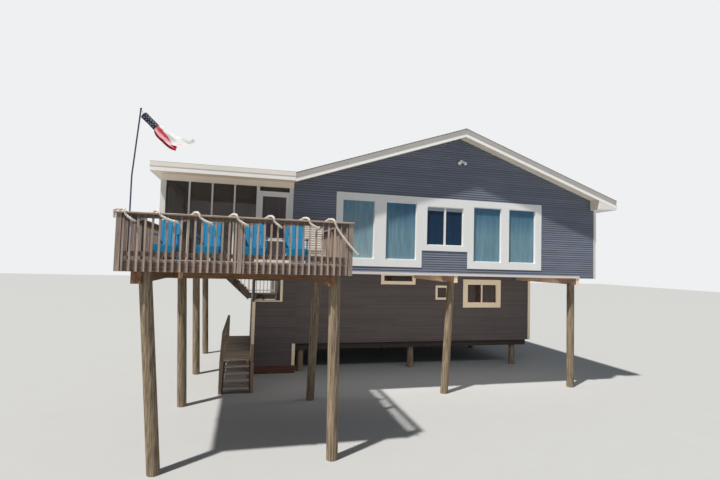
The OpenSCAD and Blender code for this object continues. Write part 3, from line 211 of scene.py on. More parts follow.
class Shade:
    """A material's node tree, put together one node at a time."""

    def __init__(self, name: str, roughness: float) -> None:
        """Starts the tree with its shader.

        Args:
            name: The material's name.
            roughness: The shader's roughness.
        """
        self.material = bpy.data.materials.new(name)
        self.material.use_nodes = True
        self.tree = self.material.node_tree
        self.tree.nodes.clear()
        self.skin = self.node("BsdfPrincipled", {"Roughness": roughness})
        self.wire(self.skin.outputs["BSDF"], self.node("OutputMaterial").inputs["Surface"])

    def node(self, kind: str, values: dict[str, float | Sequence[float]] | None = None) -> bpy.types.Node:
        """Adds a node.

        Args:
            kind: Its type, without the ShaderNode prefix.
            values: Values on its own sockets, by the sockets' names.

        Returns:
            The new node.
        """
        node = self.tree.nodes.new(f"ShaderNode{kind}")
        for socket, value in (values or {}).items():
            node.inputs[socket].default_value = value
        return node

    def wire(self, a: Socket, b: Socket) -> None:
        """Joins an output to an input."""
        self.tree.links.new(a, b)

    def place(self, scale: Sequence[float] = UNIT, space: Space = Space.OBJECT) -> Socket:
        """Adds coordinates for a pattern.

        Args:
            scale: How often the pattern repeats along each axis.
            space: What the coordinates follow.

        Returns:
            The coordinates.
        """
        mapping = self.node("Mapping", {"Scale": scale})
        self.wire(self.node("TexCoord").outputs[space.value], mapping.inputs["Vector"])
        return mapping.outputs["Vector"]

    def noise(self, stretch: Sequence[float], scale: float, detail: float = 4.0, rough: float = 0.55,
              space: Space = Space.OBJECT) -> Socket:
        """Adds noise between 0 and 1.

        Args:
            stretch: How often it repeats along each axis.
            scale: Its overall scale.
            detail: Number of finer layers.
            rough: Share of the finer layers.
            space: What its coordinates follow.

        Returns:
            The noise.
        """
        node = self.node("TexNoise", {"Scale": scale, "Detail": detail, "Roughness": rough})
        self.wire(self.place(stretch, space), node.inputs["Vector"])
        return node.outputs["Fac"]

    def height(self, low: float, high: float) -> Socket:
        """Adds a factor that follows the height.

        Args:
            low: Height in metres where it is 0.
            high: Height in metres where it is 1.

        Returns:
            The factor.
        """
        apart = self.node("SeparateXYZ")
        self.wire(self.place(), apart.inputs[0])
        node = self.node("MapRange", {"From Min": low, "From Max": high})
        self.wire(apart.outputs["Z"], node.inputs["Value"])
        return node.outputs["Result"]

    def spots(self, scale: float) -> Socket:
        """Adds an even lattice of spots.

        Args:
            scale: Number of spots along a metre.

        Returns:
            Distance from the spots' middles.
        """
        node = self.node("TexVoronoi", {"Scale": scale, "Randomness": 0.15})
        self.wire(self.place(), node.inputs["Vector"])
        return node.outputs["Distance"]

    def attribute(self, name: str) -> Socket:
        """Adds a value that the mesh carries.

        Args:
            name: The attribute's name.

        Returns:
            Its value at each point.
        """
        node = self.node("Attribute")
        node.attribute_name = name
        return node.outputs["Fac"]

    def ramp(self, factor: Socket, stops: Sequence[tuple[float, Colour]]) -> Socket:
        """Turns a factor into colours.

        Args:
            factor: What the ramp follows.
            stops: Places along the ramp and their colours.

        Returns:
            The colour.
        """
        node = self.node("ValToRGB")
        elements = node.color_ramp.elements
        while len(elements) < len(stops):
            elements.new(0.5)
        for element, (place, colour) in zip(elements, stops):
            element.position = place
            element.color = (*colour, 1.0)
        self.wire(factor, node.inputs["Fac"])
        return node.outputs["Color"]

    def times(self, a: Socket, b: Socket, amount: float = 1.0) -> Socket:
        """Multiplies two colours.

        Args:
            a: The first colour.
            b: The second colour.
            amount: How far the second one acts, from 0 to 1.

        Returns:
            The product.
        """
        node = self.tree.nodes.new("ShaderNodeMix")
        node.data_type = "RGBA"
        node.blend_type = "MULTIPLY"
        node.inputs["Factor"].default_value = amount
        self.wire(a, node.inputs["A"])
        self.wire(b, node.inputs["B"])
        return next(s for s in node.outputs if s.type == "RGBA")

    def colour(self, source: Socket) -> None:
        """Sets the colour that the surface takes."""
        self.wire(source, self.skin.inputs["Base Color"])

    def bump(self, height: Socket, strength: float, distance: float) -> None:
        """Adds fine relief over the surface.

        Args:
            height: The relief's pattern.
            strength: How strongly it shows.
            distance: Its depth in metres.
        """
        node = self.node("Bump", {"Strength": strength, "Distance": distance})
        self.wire(height, node.inputs["Height"])
        self.wire(node.outputs["Normal"], self.skin.inputs["Normal"])


@dataclass(frozen=True)
class Finish:
    """A material with a pattern of its own kind."""

    name: str
    roughness: float = field(default=0.85, kw_only=True)

    @cache
    def make(self) -> bpy.types.Material:
        """Builds the material at its first use.

        Returns:
            The material, with its pattern drawn.
        """
        shade = Shade(self.name, self.roughness)
        self.draw(shade)
        return shade.material

    def draw(self, shade: Shade) -> None:
        """Draws the pattern, in each kind of finish its own."""
        raise NotImplementedError


@dataclass(frozen=True)
class Paint(Finish):
    """Outdoor paint with faint streaks and soiling, of a second tone at its foot if it has one."""

    colour: Colour
    worn: float = 0.12
    foot: Colour | None = None
    turn: Span = (0.0, 1.0)
    roughness: float = field(default=0.6, kw_only=True)

    def draw(self, shade: Shade) -> None:
        """Draws streaks over the paint's tones.

        Args:
            shade: The material's tree.
        """
        soiled = 1 - self.worn
        broad = shade.noise(grey(0.7), 2.0, 5.0)
        base = shade.ramp(broad, ((0.3, tint(self.colour, soiled)), (0.7, self.colour)))
        if self.foot:
            tones = tuple(c / d for c, d in zip(self.foot, self.colour))
            base = shade.times(base, shade.ramp(shade.height(*self.turn), ((0.0, tones), (1.0, UNIT))))
        streak = shade.noise((9.0, 9.0, 0.9), 1.5, 6.0, 0.65)
        marks = shade.ramp(streak, ((0.25, grey(soiled)), (0.6, UNIT)))
        shade.colour(shade.times(base, marks, 0.7))
        shade.bump(shade.noise(grey(60.0), 3.0, 2.0), 0.08, 0.002)


@dataclass(frozen=True)
class LapPaint(Finish):
    """Painted siding, each board a little lighter or darker than the next, with painted shade at its head
    under the butt of the board above.
    """

    colour: Colour
    # How dark the painted shade leaves a board's head.
    head: float = 0.54
    spread: float = 0.1
    roughness: float = field(default=0.62, kw_only=True)

    def draw(self, shade: Shade) -> None:
        """Draws the boards' tones, their fading, their grain and the painted shade at each board's head.

        Args:
            shade: The material's tree.
        """
        low, high = tint(self.colour, 1 - self.spread), tint(self.colour, 1 + self.spread)
        board = shade.ramp(shade.attribute("tone"), ((0.0, low), (1.0, high)))
        broad = shade.noise(grey(0.5), 1.6, 5.0)
        fade = shade.ramp(broad, ((0.3, (0.88, 0.88, 0.9)), (0.7, (1.06, 1.05, 1.04))))
        grain = shade.noise((1.2, 1.2, 46.0), 2.2, 5.0, 0.6)
        lines = shade.ramp(grain, ((0.3, grey(0.9)), (0.65, UNIT)))
        # Painted shade under each board's butt: darker towards the board's head.
        steps = ((0.0, UNIT), (0.4, grey(0.95)), (0.7, grey(self.head + 0.18)), (1.0, grey(self.head)))
        edge = shade.ramp(shade.attribute("rise"), steps)
        worn = shade.times(shade.times(board, fade, 0.8), lines, 0.8)
        shade.colour(shade.times(worn, edge))
        shade.bump(grain, 0.12, 0.002)


@dataclass(frozen=True)
class Wood(Finish):
    """Weathered sawn timber; the grain follows each board's own length."""

    dark: Colour
    middle: Colour
    light: Colour
    relief: float = 0.35
    # Heights in metres between which a band of painted shade sets in, darkest at the second.
    painted_shade: Span | None = None
    roughness: float = field(default=0.82, kw_only=True)

    def draw(self, shade: Shade) -> None:
        """Draws the grain, each board's tone and, where given, a band of painted shade.

        Args:
            shade: The material's tree.
        """
        wide = shade.noise((0.8, 14.0, 1.0), 2.0, 6.0, 0.6, Space.GRAIN)
        fine = shade.noise((3.0, 130.0, 1.0), 2.0, 4.0, 0.6, Space.GRAIN)
        body = shade.ramp(wide, ((0.28, self.dark), (0.5, self.middle), (0.74, self.light)))
        lines = shade.ramp(fine, ((0.3, (0.72, 0.7, 0.68)), (0.6, UNIT)))
        tone = shade.ramp(shade.attribute("tone"), ((0.0, (0.74, 0.74, 0.76)), (1.0, (1.1, 1.08, 1.05))))
        grained = shade.times(shade.times(body, lines, 0.7), tone)
        # Painted shade: darker past the given heights.
        if self.painted_shade:
            shade_band = shade.ramp(shade.height(*self.painted_shade), ((0.0, UNIT), (1.0, (0.5, 0.48, 0.47))))
            grained = shade.times(grained, shade_band)
        shade.colour(grained)
        shade.bump(fine, self.relief, 0.003)


@dataclass(frozen=True)
class RoundWood(Finish):
    """Treated piles: upright grain, checks and broad patches."""

    dark: Colour
    light: Colour
    roughness: float = field(default=0.88, kw_only=True)

    def draw(self, shade: Shade) -> None:
        """Draws the upright grain under broad patches.

        Args:
            shade: The material's tree.
        """
        grain = shade.noise((30.0, 30.0, 1.1), 1.4, 7.0, 0.68)
        broad = shade.noise((1.6, 1.6, 0.5), 1.5)
        body = shade.ramp(grain, ((0.34, tint(self.dark, 0.5)), (0.44, self.dark), (0.66, self.light)))
        cast = shade.ramp(broad, ((0.3, (0.86, 0.84, 0.76)), (0.7, (1.0, 0.95, 0.88))))
        shade.colour(shade.times(body, cast, 0.9))
        shade.bump(grain, 0.7, 0.01)


@dataclass(frozen=True)
class SolidWood(Finish):
    """Timber of one direction, its grain drawn on the object's own coordinates."""

    dark: Colour
    light: Colour
    stretch: Point
    roughness: float = field(default=0.84, kw_only=True)

    def draw(self, shade: Shade) -> None:
        """Draws the grain along the timber.

        Args:
            shade: The material's tree.
        """
        wide = shade.noise(self.stretch, 2.0, 6.0, 0.62)
        fine = shade.noise(tuple(c * 6 for c in self.stretch), 2.0, 3.0)
        body = shade.ramp(wide, ((0.3, self.dark), (0.7, self.light)))
        lines = shade.ramp(fine, ((0.3, (0.75, 0.74, 0.72)), (0.6, UNIT)))
        shade.colour(shade.times(body, lines, 0.7))
        shade.bump(fine, 0.3, 0.003)


@dataclass(frozen=True)
class Pane(Finish):
    """Tinted glass that the room behind shows through, its head darker as painted shade."""

    foot: Colour
    head: Colour
    cover: float
    turn: Span = (5.0, 6.1)
    roughness: float = field(default=0.06, kw_only=True)

    def draw(self, shade: Shade) -> None:
        """Draws the tint, its head darker as painted shade, under a faint upright sheen.

        Args:
            shade: The material's tree.
        """
        # Painted shade: the pane darkens from its foot colour to its head colour over the turn's heights.
        rise = shade.ramp(shade.height(*self.turn), ((0.0, self.foot), (1.0, self.head)))
        sheen = shade.noise((7.0, 7.0, 0.7), 1.6, 3.0)
        cast = shade.ramp(sheen, ((0.35, (0.74, 0.77, 0.8)), (0.65, UNIT)))
        shade.colour(shade.times(rise, cast))
        shade.skin.inputs["Alpha"].default_value = self.cover
        shade.skin.inputs["IOR"].default_value = 1.5


@dataclass(frozen=True)
class Net(Finish):
    """Insect screen: a dark net with a faint upright sheen."""

    colour: Colour
    cover: float
    roughness: float = field(default=0.55, kw_only=True)

    def draw(self, shade: Shade) -> None:
        """Draws the sheen and lets light through.

        Args:
            shade: The material's tree.
        """
        streak = shade.noise((5.0, 5.0, 0.5), 1.5)
        shade.colour(shade.ramp(streak, ((0.3, tint(self.colour, 0.7)), (0.7, tint(self.colour, 1.5)))))
        shade.skin.inputs["Alpha"].default_value = self.cover


@dataclass(frozen=True)
class Shingle(Finish):
    """Mineral shingles, each of its own grey."""

    dark: Colour
    light: Colour
    roughness: float = field(default=0.92, kw_only=True)

    def draw(self, shade: Shade) -> None:
        """Draws the grit over each tab's tone.

        Args:
            shade: The material's tree.
        """
        tab = shade.ramp(shade.attribute("tone"), ((0.0, self.dark), (1.0, self.light)))
        grit = shade.noise(UNIT, 160.0, 3.0, 0.7)
        speck = shade.ramp(grit, ((0.3, (0.72, 0.72, 0.74)), (0.7, (1.1, 1.1, 1.08))))
        shade.colour(shade.times(tab, speck, 0.9))
        shade.bump(grit, 0.3, 0.002)


@dataclass(frozen=True)
class Cloth(Finish):
    """Woven cloth of two near tones."""

    colour: Colour
    second: Colour
    scale: float

    def draw(self, shade: Shade) -> None:
        """Draws the tones and the thread.

        Args:
            shade: The material's tree.
        """
        cast = shade.noise(UNIT, self.scale, 3.0, 0.6)
        shade.colour(shade.ramp(cast, ((0.47, self.colour), (0.53, self.second))))
        self.thread(shade)

    def thread(self, shade: Shade) -> None:
        """Adds the relief of the weave."""
        shade.bump(shade.noise(UNIT, 320.0, 2.0), 0.15, 0.001)


@dataclass(frozen=True)
class Spotted(Cloth):
    """Cloth with rows of pale spots, the second tone on the first."""

    def draw(self, shade: Shade) -> None:
        """Draws the spots and the thread.

        Args:
            shade: The material's tree.
        """
        shade.colour(shade.ramp(shade.spots(self.scale), ((0.3, self.second), (0.4, self.colour))))
        self.thread(shade)


FLAT_GRAIN, UPRIGHT_GRAIN = (0.8, 0.8, 12.0), (12.0, 12.0, 0.8)


class Look(Enum):
    """Every finish of the house, by what it covers."""

    # The siding darkens each board's head as painted shade, more faintly on the lower storey.
    SIDING = LapPaint("blue_grey_siding", srgb(121, 129, 147))
    SIDING_BACK = Paint("blue_grey_wall", srgb(96, 104, 124))
    LOWER_SIDING = LapPaint("brown_grey_siding", srgb(96, 88, 86), 0.74)
    LOWER_BACK = Paint("brown_grey_wall", srgb(80, 72, 69))
    WHITE_TRIM = Paint("white_trim_paint", srgb(236, 236, 235), 0.06)
    BRIGHT_TRIM = Paint("bright_fascia_paint", srgb(255, 253, 250), 0.03)
    WHITE_VINYL = Paint("white_frame_vinyl", srgb(238, 239, 240), 0.04, roughness=0.4)
    CREAM_TRIM = Paint("cream_trim_paint", srgb(250, 228, 198), 0.08)
    CREAM_BAND = Paint("cream_fascia_paint", srgb(246, 241, 232), 0.06)
    FOOT_BAND = Paint("grey_white_band", srgb(224, 218, 216), 0.08)
    HEADER = Paint("beige_header_paint", srgb(254, 246, 232), 0.05)
    GREY_BAND = Paint("grey_fascia_paint", srgb(186, 182, 180), 0.1)
    SOFFIT = Paint("beige_soffit_board", srgb(252, 240, 222), 0.06)
    SHINGLE = Shingle("grey_shingle", srgb(112, 112, 112), srgb(158, 156, 152))
    TEAL_GLASS = Pane("teal_glass", srgb(130, 168, 186), srgb(80, 130, 162), 0.72, (5.2, 6.0))
    PALE_GLASS = Pane("pale_glass", srgb(160, 188, 196), srgb(118, 160, 182), 0.85, (4.4, 6.1))
    DARK_GLASS = Pane("dark_glass", srgb(32, 60, 88), srgb(28, 54, 82), 0.85)
    BROWN_GLASS = Pane("brown_glass", srgb(78, 64, 54), srgb(62, 50, 42), 0.86, (2.5, 3.6))
    BLIND = Paint("grey_blind", srgb(158, 168, 174), 0.06)
    SCREEN = Net("dark_screen", srgb(72, 63, 57), 0.58)
    DOOR_SCREEN = Net("door_screen", srgb(80, 73, 76), 0.94)
    PILE = RoundWood("treated_pile", srgb(116, 103, 88), srgb(180, 164, 141))
    # Tan paint, made lighter still: painted bounce light from the ground under the house.
    GIRDER = Wood("tan_girder_wood", srgb(184, 146, 116), srgb(224, 190, 160), srgb(240, 214, 188))
    DECK_BEAM = Wood("brown_deck_beam", srgb(96, 68, 46), srgb(136, 100, 70), srgb(166, 130, 98))
    FLOOR_BEAM = Wood("dark_floor_beam", srgb(44, 37, 33), srgb(62, 53, 48), srgb(80, 70, 64))
    FLOOR_EDGE = SolidWood("brown_floor_edge", srgb(96, 72, 54), srgb(142, 110, 84), FLAT_GRAIN)
    LOW_EDGE = SolidWood("dark_floor_edge", srgb(46, 39, 36), srgb(78, 68, 62), FLAT_GRAIN)
    SKIRT = SolidWood("red_brown_skirt_board", srgb(74, 48, 40), srgb(118, 82, 68), FLAT_GRAIN)
    DECK = Wood("grey_deck_wood", srgb(112, 97, 88), srgb(158, 142, 132), srgb(190, 176, 167))
    # Darker than the balusters' wood: painted shade on the rim and the joists.
    JOIST = Wood("dark_beam_wood", srgb(80, 64, 57), srgb(118, 98, 89), srgb(146, 127, 116))
    POST = SolidWood("grey_post_wood", srgb(122, 106, 97), srgb(178, 160, 149), UPRIGHT_GRAIN)
    # The cap's lower edge darker below 5.016 m: painted shade.
    CAP = Wood("weathered_cap_wood", srgb(150, 132, 116), srgb(192, 174, 156), srgb(214, 199, 183),
               painted_shade=(5.03, 5.016))
    # Darker than the balusters' wood: painted shade on the rails.
    LONG_RAIL = Wood("brown_cap_wood", srgb(88, 73, 65), srgb(124, 106, 96), srgb(152, 134, 124))
    # The balusters' tops darker above 4.88 m: painted shadow of the cap.
    BALUSTER = Wood("pale_rail_wood", srgb(130, 114, 104), srgb(176, 160, 149), srgb(200, 186, 176),
                    painted_shade=(4.88, 4.94))
    # Lighter than the weathered wood: painted sunlight on treads that lie in the deck's shadow.
    TREAD = Wood("stair_wood", srgb(140, 122, 110), srgb(190, 172, 160), srgb(218, 202, 190))
    # Dark: painted shade on the landings, which lie in the shade.
    LANDING = Wood("dark_landing_wood", srgb(44, 38, 35), srgb(66, 58, 52), srgb(90, 80, 72))
    # Pale: painted sunlight on the boardwalk, which lies in the deck's shadow.
    WALK = Wood("pale_walk_wood", srgb(150, 134, 116), srgb(190, 174, 154), srgb(214, 200, 182))
    # Dark: painted shade on the stringers of the shaded flights.
    STRINGER = SolidWood("dark_stringer_wood", srgb(52, 42, 38), srgb(92, 78, 68), (2.0, 2.0, 8.0))
    STAIR_GUARD = Paint("white_rail_paint", srgb(214, 210, 202), 0.1, srgb(150, 130, 112), (2.3, 2.35))
    ROPE = Cloth("rope_fibre", srgb(226, 222, 214), srgb(200, 194, 184), 60.0)
    BLUE_CHAIR = Paint("chair_blue_paint", srgb(16, 136, 186), 0.16, roughness=0.45)
    GREY_CHAIR = Wood("pale_slat_wood", srgb(178, 172, 166), srgb(216, 211, 205), srgb(234, 231, 226))
    POLE = Paint("blue_pole_paint", srgb(66, 84, 112), 0.1, roughness=0.4)
    SOCK = Spotted("navy_cloth", srgb(24, 30, 62), srgb(150, 148, 150), 24.0)
    RED_CLOTH = Cloth("red_cloth", srgb(196, 40, 58), srgb(216, 70, 84), 8.0)
    PINK_CLOTH = Cloth("pink_cloth", srgb(238, 206, 212), srgb(232, 178, 188), 8.0)
    WHITE_CLOTH = Cloth("white_cloth", srgb(244, 244, 243), srgb(234, 237, 238), 8.0)
    CURTAIN = Cloth("curtain_cloth", srgb(222, 226, 224), srgb(206, 212, 210), 6.0)
    LAMP = Paint("lamp_white", srgb(252, 251, 248), 0.03, roughness=0.4)
    STEEL = Paint("galvanised_steel", srgb(150, 150, 146), 0.2, roughness=0.45)
    STUDIO = Paint("pale_floor", srgb(177, 179, 180), 0.02, roughness=0.9)

    def cover(self, obj: Object) -> None:
        """Gives an object this finish alone."""
        obj.data.materials.clear()
        obj.data.materials.append(self.value.make())


def to_frame(bm: BMesh) -> None:
    """Moves a mesh from the drawing's millimetres to the shared frame's metres."""
    matrix = Matrix.Diagonal((MM, MM, MM, 1.0)) @ Matrix.Translation(SHIFT)
    bmesh.ops.transform(bm, matrix=matrix, verts=bm.verts[:])


def aim(direction: Vector) -> Matrix:
    """The turn that points +Z along a direction."""
    return direction.to_track_quat("Z", "Y").to_matrix().to_4x4()


def face_to(origin: Sequence[float], along: Vector, out: Vector) -> Matrix:
    """The frame of a wall's face: along the wall, out of it, and up."""
    return Matrix.Translation(origin) @ Matrix((along, out, Z)).transposed().to_4x4()


def add_rod(bm: BMesh, start: Vector, end: Vector, radius: float, segments: int) -> None:
    """Adds a round rod with closed ends.

    Args:
        bm: The mesh that takes it.
        start: Middle of one end.
        end: Middle of the other end.
        radius: Its radius.
        segments: Number of its sides.
    """
    run = end - start
    bmesh.ops.create_cone(bm, cap_ends=True, segments=segments, radius1=radius, radius2=radius,
                          depth=run.length, matrix=Matrix.Translation((start + end) / 2) @ aim(run))


def link(name: str, data: bpy.types.ID) -> Object:
    """Puts data into the scene as an object.

    Args:
        name: The object's name.
        data: Its mesh, curve, lamp or camera.

    Returns:
        The new object.
    """
    obj = bpy.data.objects.new(name, data)
    bpy.context.scene.collection.objects.link(obj)
    return obj


def add_mesh(name: str, bm: BMesh, smooth: float | None = None) -> Object:
    """Turns a finished bmesh into an object at the origin.

    Args:
        name: The piece's name.
        bm: The mesh, which is freed.
        smooth: Edges flatter than this angle in degrees are shaded smooth.

    Returns:
        The new object.
    """
    bmesh.ops.recalc_face_normals(bm, faces=bm.faces[:])
    mesh = bpy.data.meshes.new(name)
    if smooth is not None:
        limit = math.radians(smooth)
        for face in bm.faces:
            face.smooth = True
        for edge in bm.edges:
            edge.smooth = edge.is_manifold and edge.calc_face_angle(0.0) < limit
    bm.to_mesh(mesh)
    bm.free()
    return link(name, mesh)


def settle(obj: Object, look: Look, nodes: Sequence[str] = ()) -> Object:
    """Gives a new piece its finish and body, and hides the CAD nodes that it stands for.

    Args:
        obj: The piece, already in place.
        look: Its finish.
        nodes: CAD nodes that it stands for.

    Returns:
        The piece.
    """
    look.cover(obj)
    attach(obj, "root")
    if nodes:
        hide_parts(*nodes)
    LOG.info("%s: %d faces", obj.name, len(obj.data.polygons))
    return obj


@dataclass
class Timber:
    """Sawn boards gathered in one mesh, each with its own grain and tone."""

    name: str
    look: Look
    slot: Slot
    nodes: Sequence[str] = ()
    chamfer: float = 3.0
    seed: int = 1

    def __post_init__(self) -> None:
        """Opens the mesh with its layers."""
        self.chance = random.Random(self.seed)
        self.bm = bmesh.new()
        layers = self.bm.verts.layers.float
        self.tone, self.along, self.across = (layers.new(name) for name in ("tone", "u", "v"))

    def board(self, low: Sequence[float], high: Sequence[float], way: Way,
              turn: Matrix | None = None, shape: Callable[[Vector], Vector] | None = None) -> None:
        """Adds a board between two corners given in millimetres.

        Args:
            low: The lowest corner.
            high: The highest corner.
            way: Direction of its grain.
            turn: Turns it in place, about the drawing's own origin.
            shape: Moves each corner, in millimetres.
        """
        a, b = Vector(low), Vector(high)
        matrix = Matrix.Translation((a + b) / 2) @ Matrix.Diagonal((*(b - a), 1.0))
        verts = bmesh.ops.create_cube(self.bm, size=1.0, matrix=matrix)["verts"]
        tone, start = self.chance.random(), self.chance.random() * 40
        sides = [i for i in range(3) if i != way.value]
        for vert in verts:
            vert[self.tone] = tone
            vert[self.along] = vert.co[way.value] * MM + start
            vert[self.across] = (vert.co[sides[0]] + vert.co[sides[1]]) * MM + start
            if shape:
                vert.co = shape(vert.co)
        if turn:
            bmesh.ops.transform(self.bm, matrix=turn, verts=verts)

    def build(self) -> Object:
        """Chamfers all boards and makes the piece.

        Returns:
            The piece.
        """
        to_frame(self.bm)
        if self.chamfer > 0:
            bmesh.ops.bevel(self.bm, geom=self.bm.edges[:], offset=self.chamfer * MM, segments=1,
                            affect="EDGES", profile=0.5, material=-1, clamp_overlap=True)
        grain = self.bm.loops.layers.uv.new("grain")
        for face in self.bm.faces:
            for loop in face.loops:
                loop[grain].uv = (loop.vert[self.along], loop.vert[self.across])
        return settle(add_mesh(self.name, self.bm), self.look, self.nodes)


@dataclass(frozen=True)
class PhotoCamera:
    """The camera where the photo was taken from, turned by angles in degrees."""

    eye: Point = (-6.4164, -13.488, 4.2)
    yaw: float = 14.28
    pitch: float = 2.89
    roll: float = 1.60
    lens: float = 22.0
    sensor: float = 36.0
    clip: Span = (0.1, 400.0)

    def build(self) -> None:
        """Places the camera and makes it the scene's."""
        yaw, pitch, roll = (math.radians(a) for a in (self.yaw, self.pitch, self.roll))
        ahead = Vector((math.sin(yaw) * math.cos(pitch), math.cos(yaw) * math.cos(pitch), math.sin(pitch)))
        side = Vector((math.cos(yaw), -math.sin(yaw), 0.0))
        over = side.cross(ahead)
        right = math.cos(roll) * side + math.sin(roll) * over
        up = -math.sin(roll) * side + math.cos(roll) * over
        data = bpy.data.cameras.new("photo_camera")
        data.lens, data.sensor_width = self.lens, self.sensor
        data.clip_start, data.clip_end = self.clip
        camera = link("photo_camera", data)
        camera.matrix_world = Matrix.Translation(self.eye) @ Matrix((right, up, -ahead)).transposed().to_4x4()
        bpy.context.scene.camera = camera


@dataclass(frozen=True)
class Studio:
    """A pale floor under soft even light, with sizes in metres."""

    floor_half: float = 90.0
    seen: Colour = (0.86, 0.87, 0.88)
    sky: Colour = (0.86, 0.93, 1.0)
    sky_strength: float = 0.27
    sun: Colour = (1.0, 0.955, 0.89)
    sun_power: float = 4.8
    sun_angle: float = 2.0
    sun_aim: Point = (0.40, 0.25, -0.88)
    fill_power: float = 80.0
    fill_size: Span = (11.4, 0.4)
    fill_at: Point = (-0.32, 0.3, 3.42)
    fill_aim: Point = (0.0, 0.8, -0.6)

    def build(self) -> None:
        """Makes the floor, the sky and the lamps."""
        bpy.context.scene.view_settings.view_transform = "Standard"
        bm = bmesh.new()
        bmesh.ops.create_grid(bm, x_segments=4, y_segments=4, size=self.floor_half)
        floor = add_mesh("studio_floor", bm)
        Look.STUDIO.cover(floor)
        self.build_sky()
        sun = bpy.data.lights.new("soft_lamp", "SUN")
        sun.energy, sun.angle, sun.color = self.sun_power, math.radians(self.sun_angle), self.sun
        self.hang(sun, self.sun_aim)
        fill = bpy.data.lights.new("fill_lamp", "AREA")
        fill.shape, fill.energy = "RECTANGLE", self.fill_power
        fill.size, fill.size_y = self.fill_size
        panel = self.hang(fill, self.fill_aim)
        panel.location = self.fill_at
        panel.visible_camera = panel.visible_glossy = False

    def build_sky(self) -> None:
        """Makes a world that lights softly and that the camera sees pale."""
        world = bpy.data.worlds.new("soft_sky")
        world.use_nodes = True
        tree = world.node_tree
        tree.nodes.clear()
        kinds = ("LightPath", "MixShader", "OutputWorld")
        path, mix, out = (tree.nodes.new(f"ShaderNode{kind}") for kind in kinds)
        tree.links.new(path.outputs["Is Camera Ray"], mix.inputs[0])
        for place, (colour, strength) in enumerate(((self.sky, self.sky_strength), (self.seen, 1.0)), 1):
            glow = tree.nodes.new("ShaderNodeBackground")
            glow.inputs["Color"].default_value = (*colour, 1.0)
            glow.inputs["Strength"].default_value = strength
            tree.links.new(glow.outputs[0], mix.inputs[place])
        tree.links.new(mix.outputs[0], out.inputs["Surface"])
        bpy.context.scene.world = world

    def hang(self, light: bpy.types.Light, ahead: Point) -> Object:
        """Puts a lamp into the studio.

        Args:
            light: The lamp.
            ahead: Where it points.

        Returns:
            Its object.
        """
        lamp = link(light.name, light)
        lamp.rotation_euler = Vector(ahead).to_track_quat("-Z", "Y").to_euler()
        return lamp


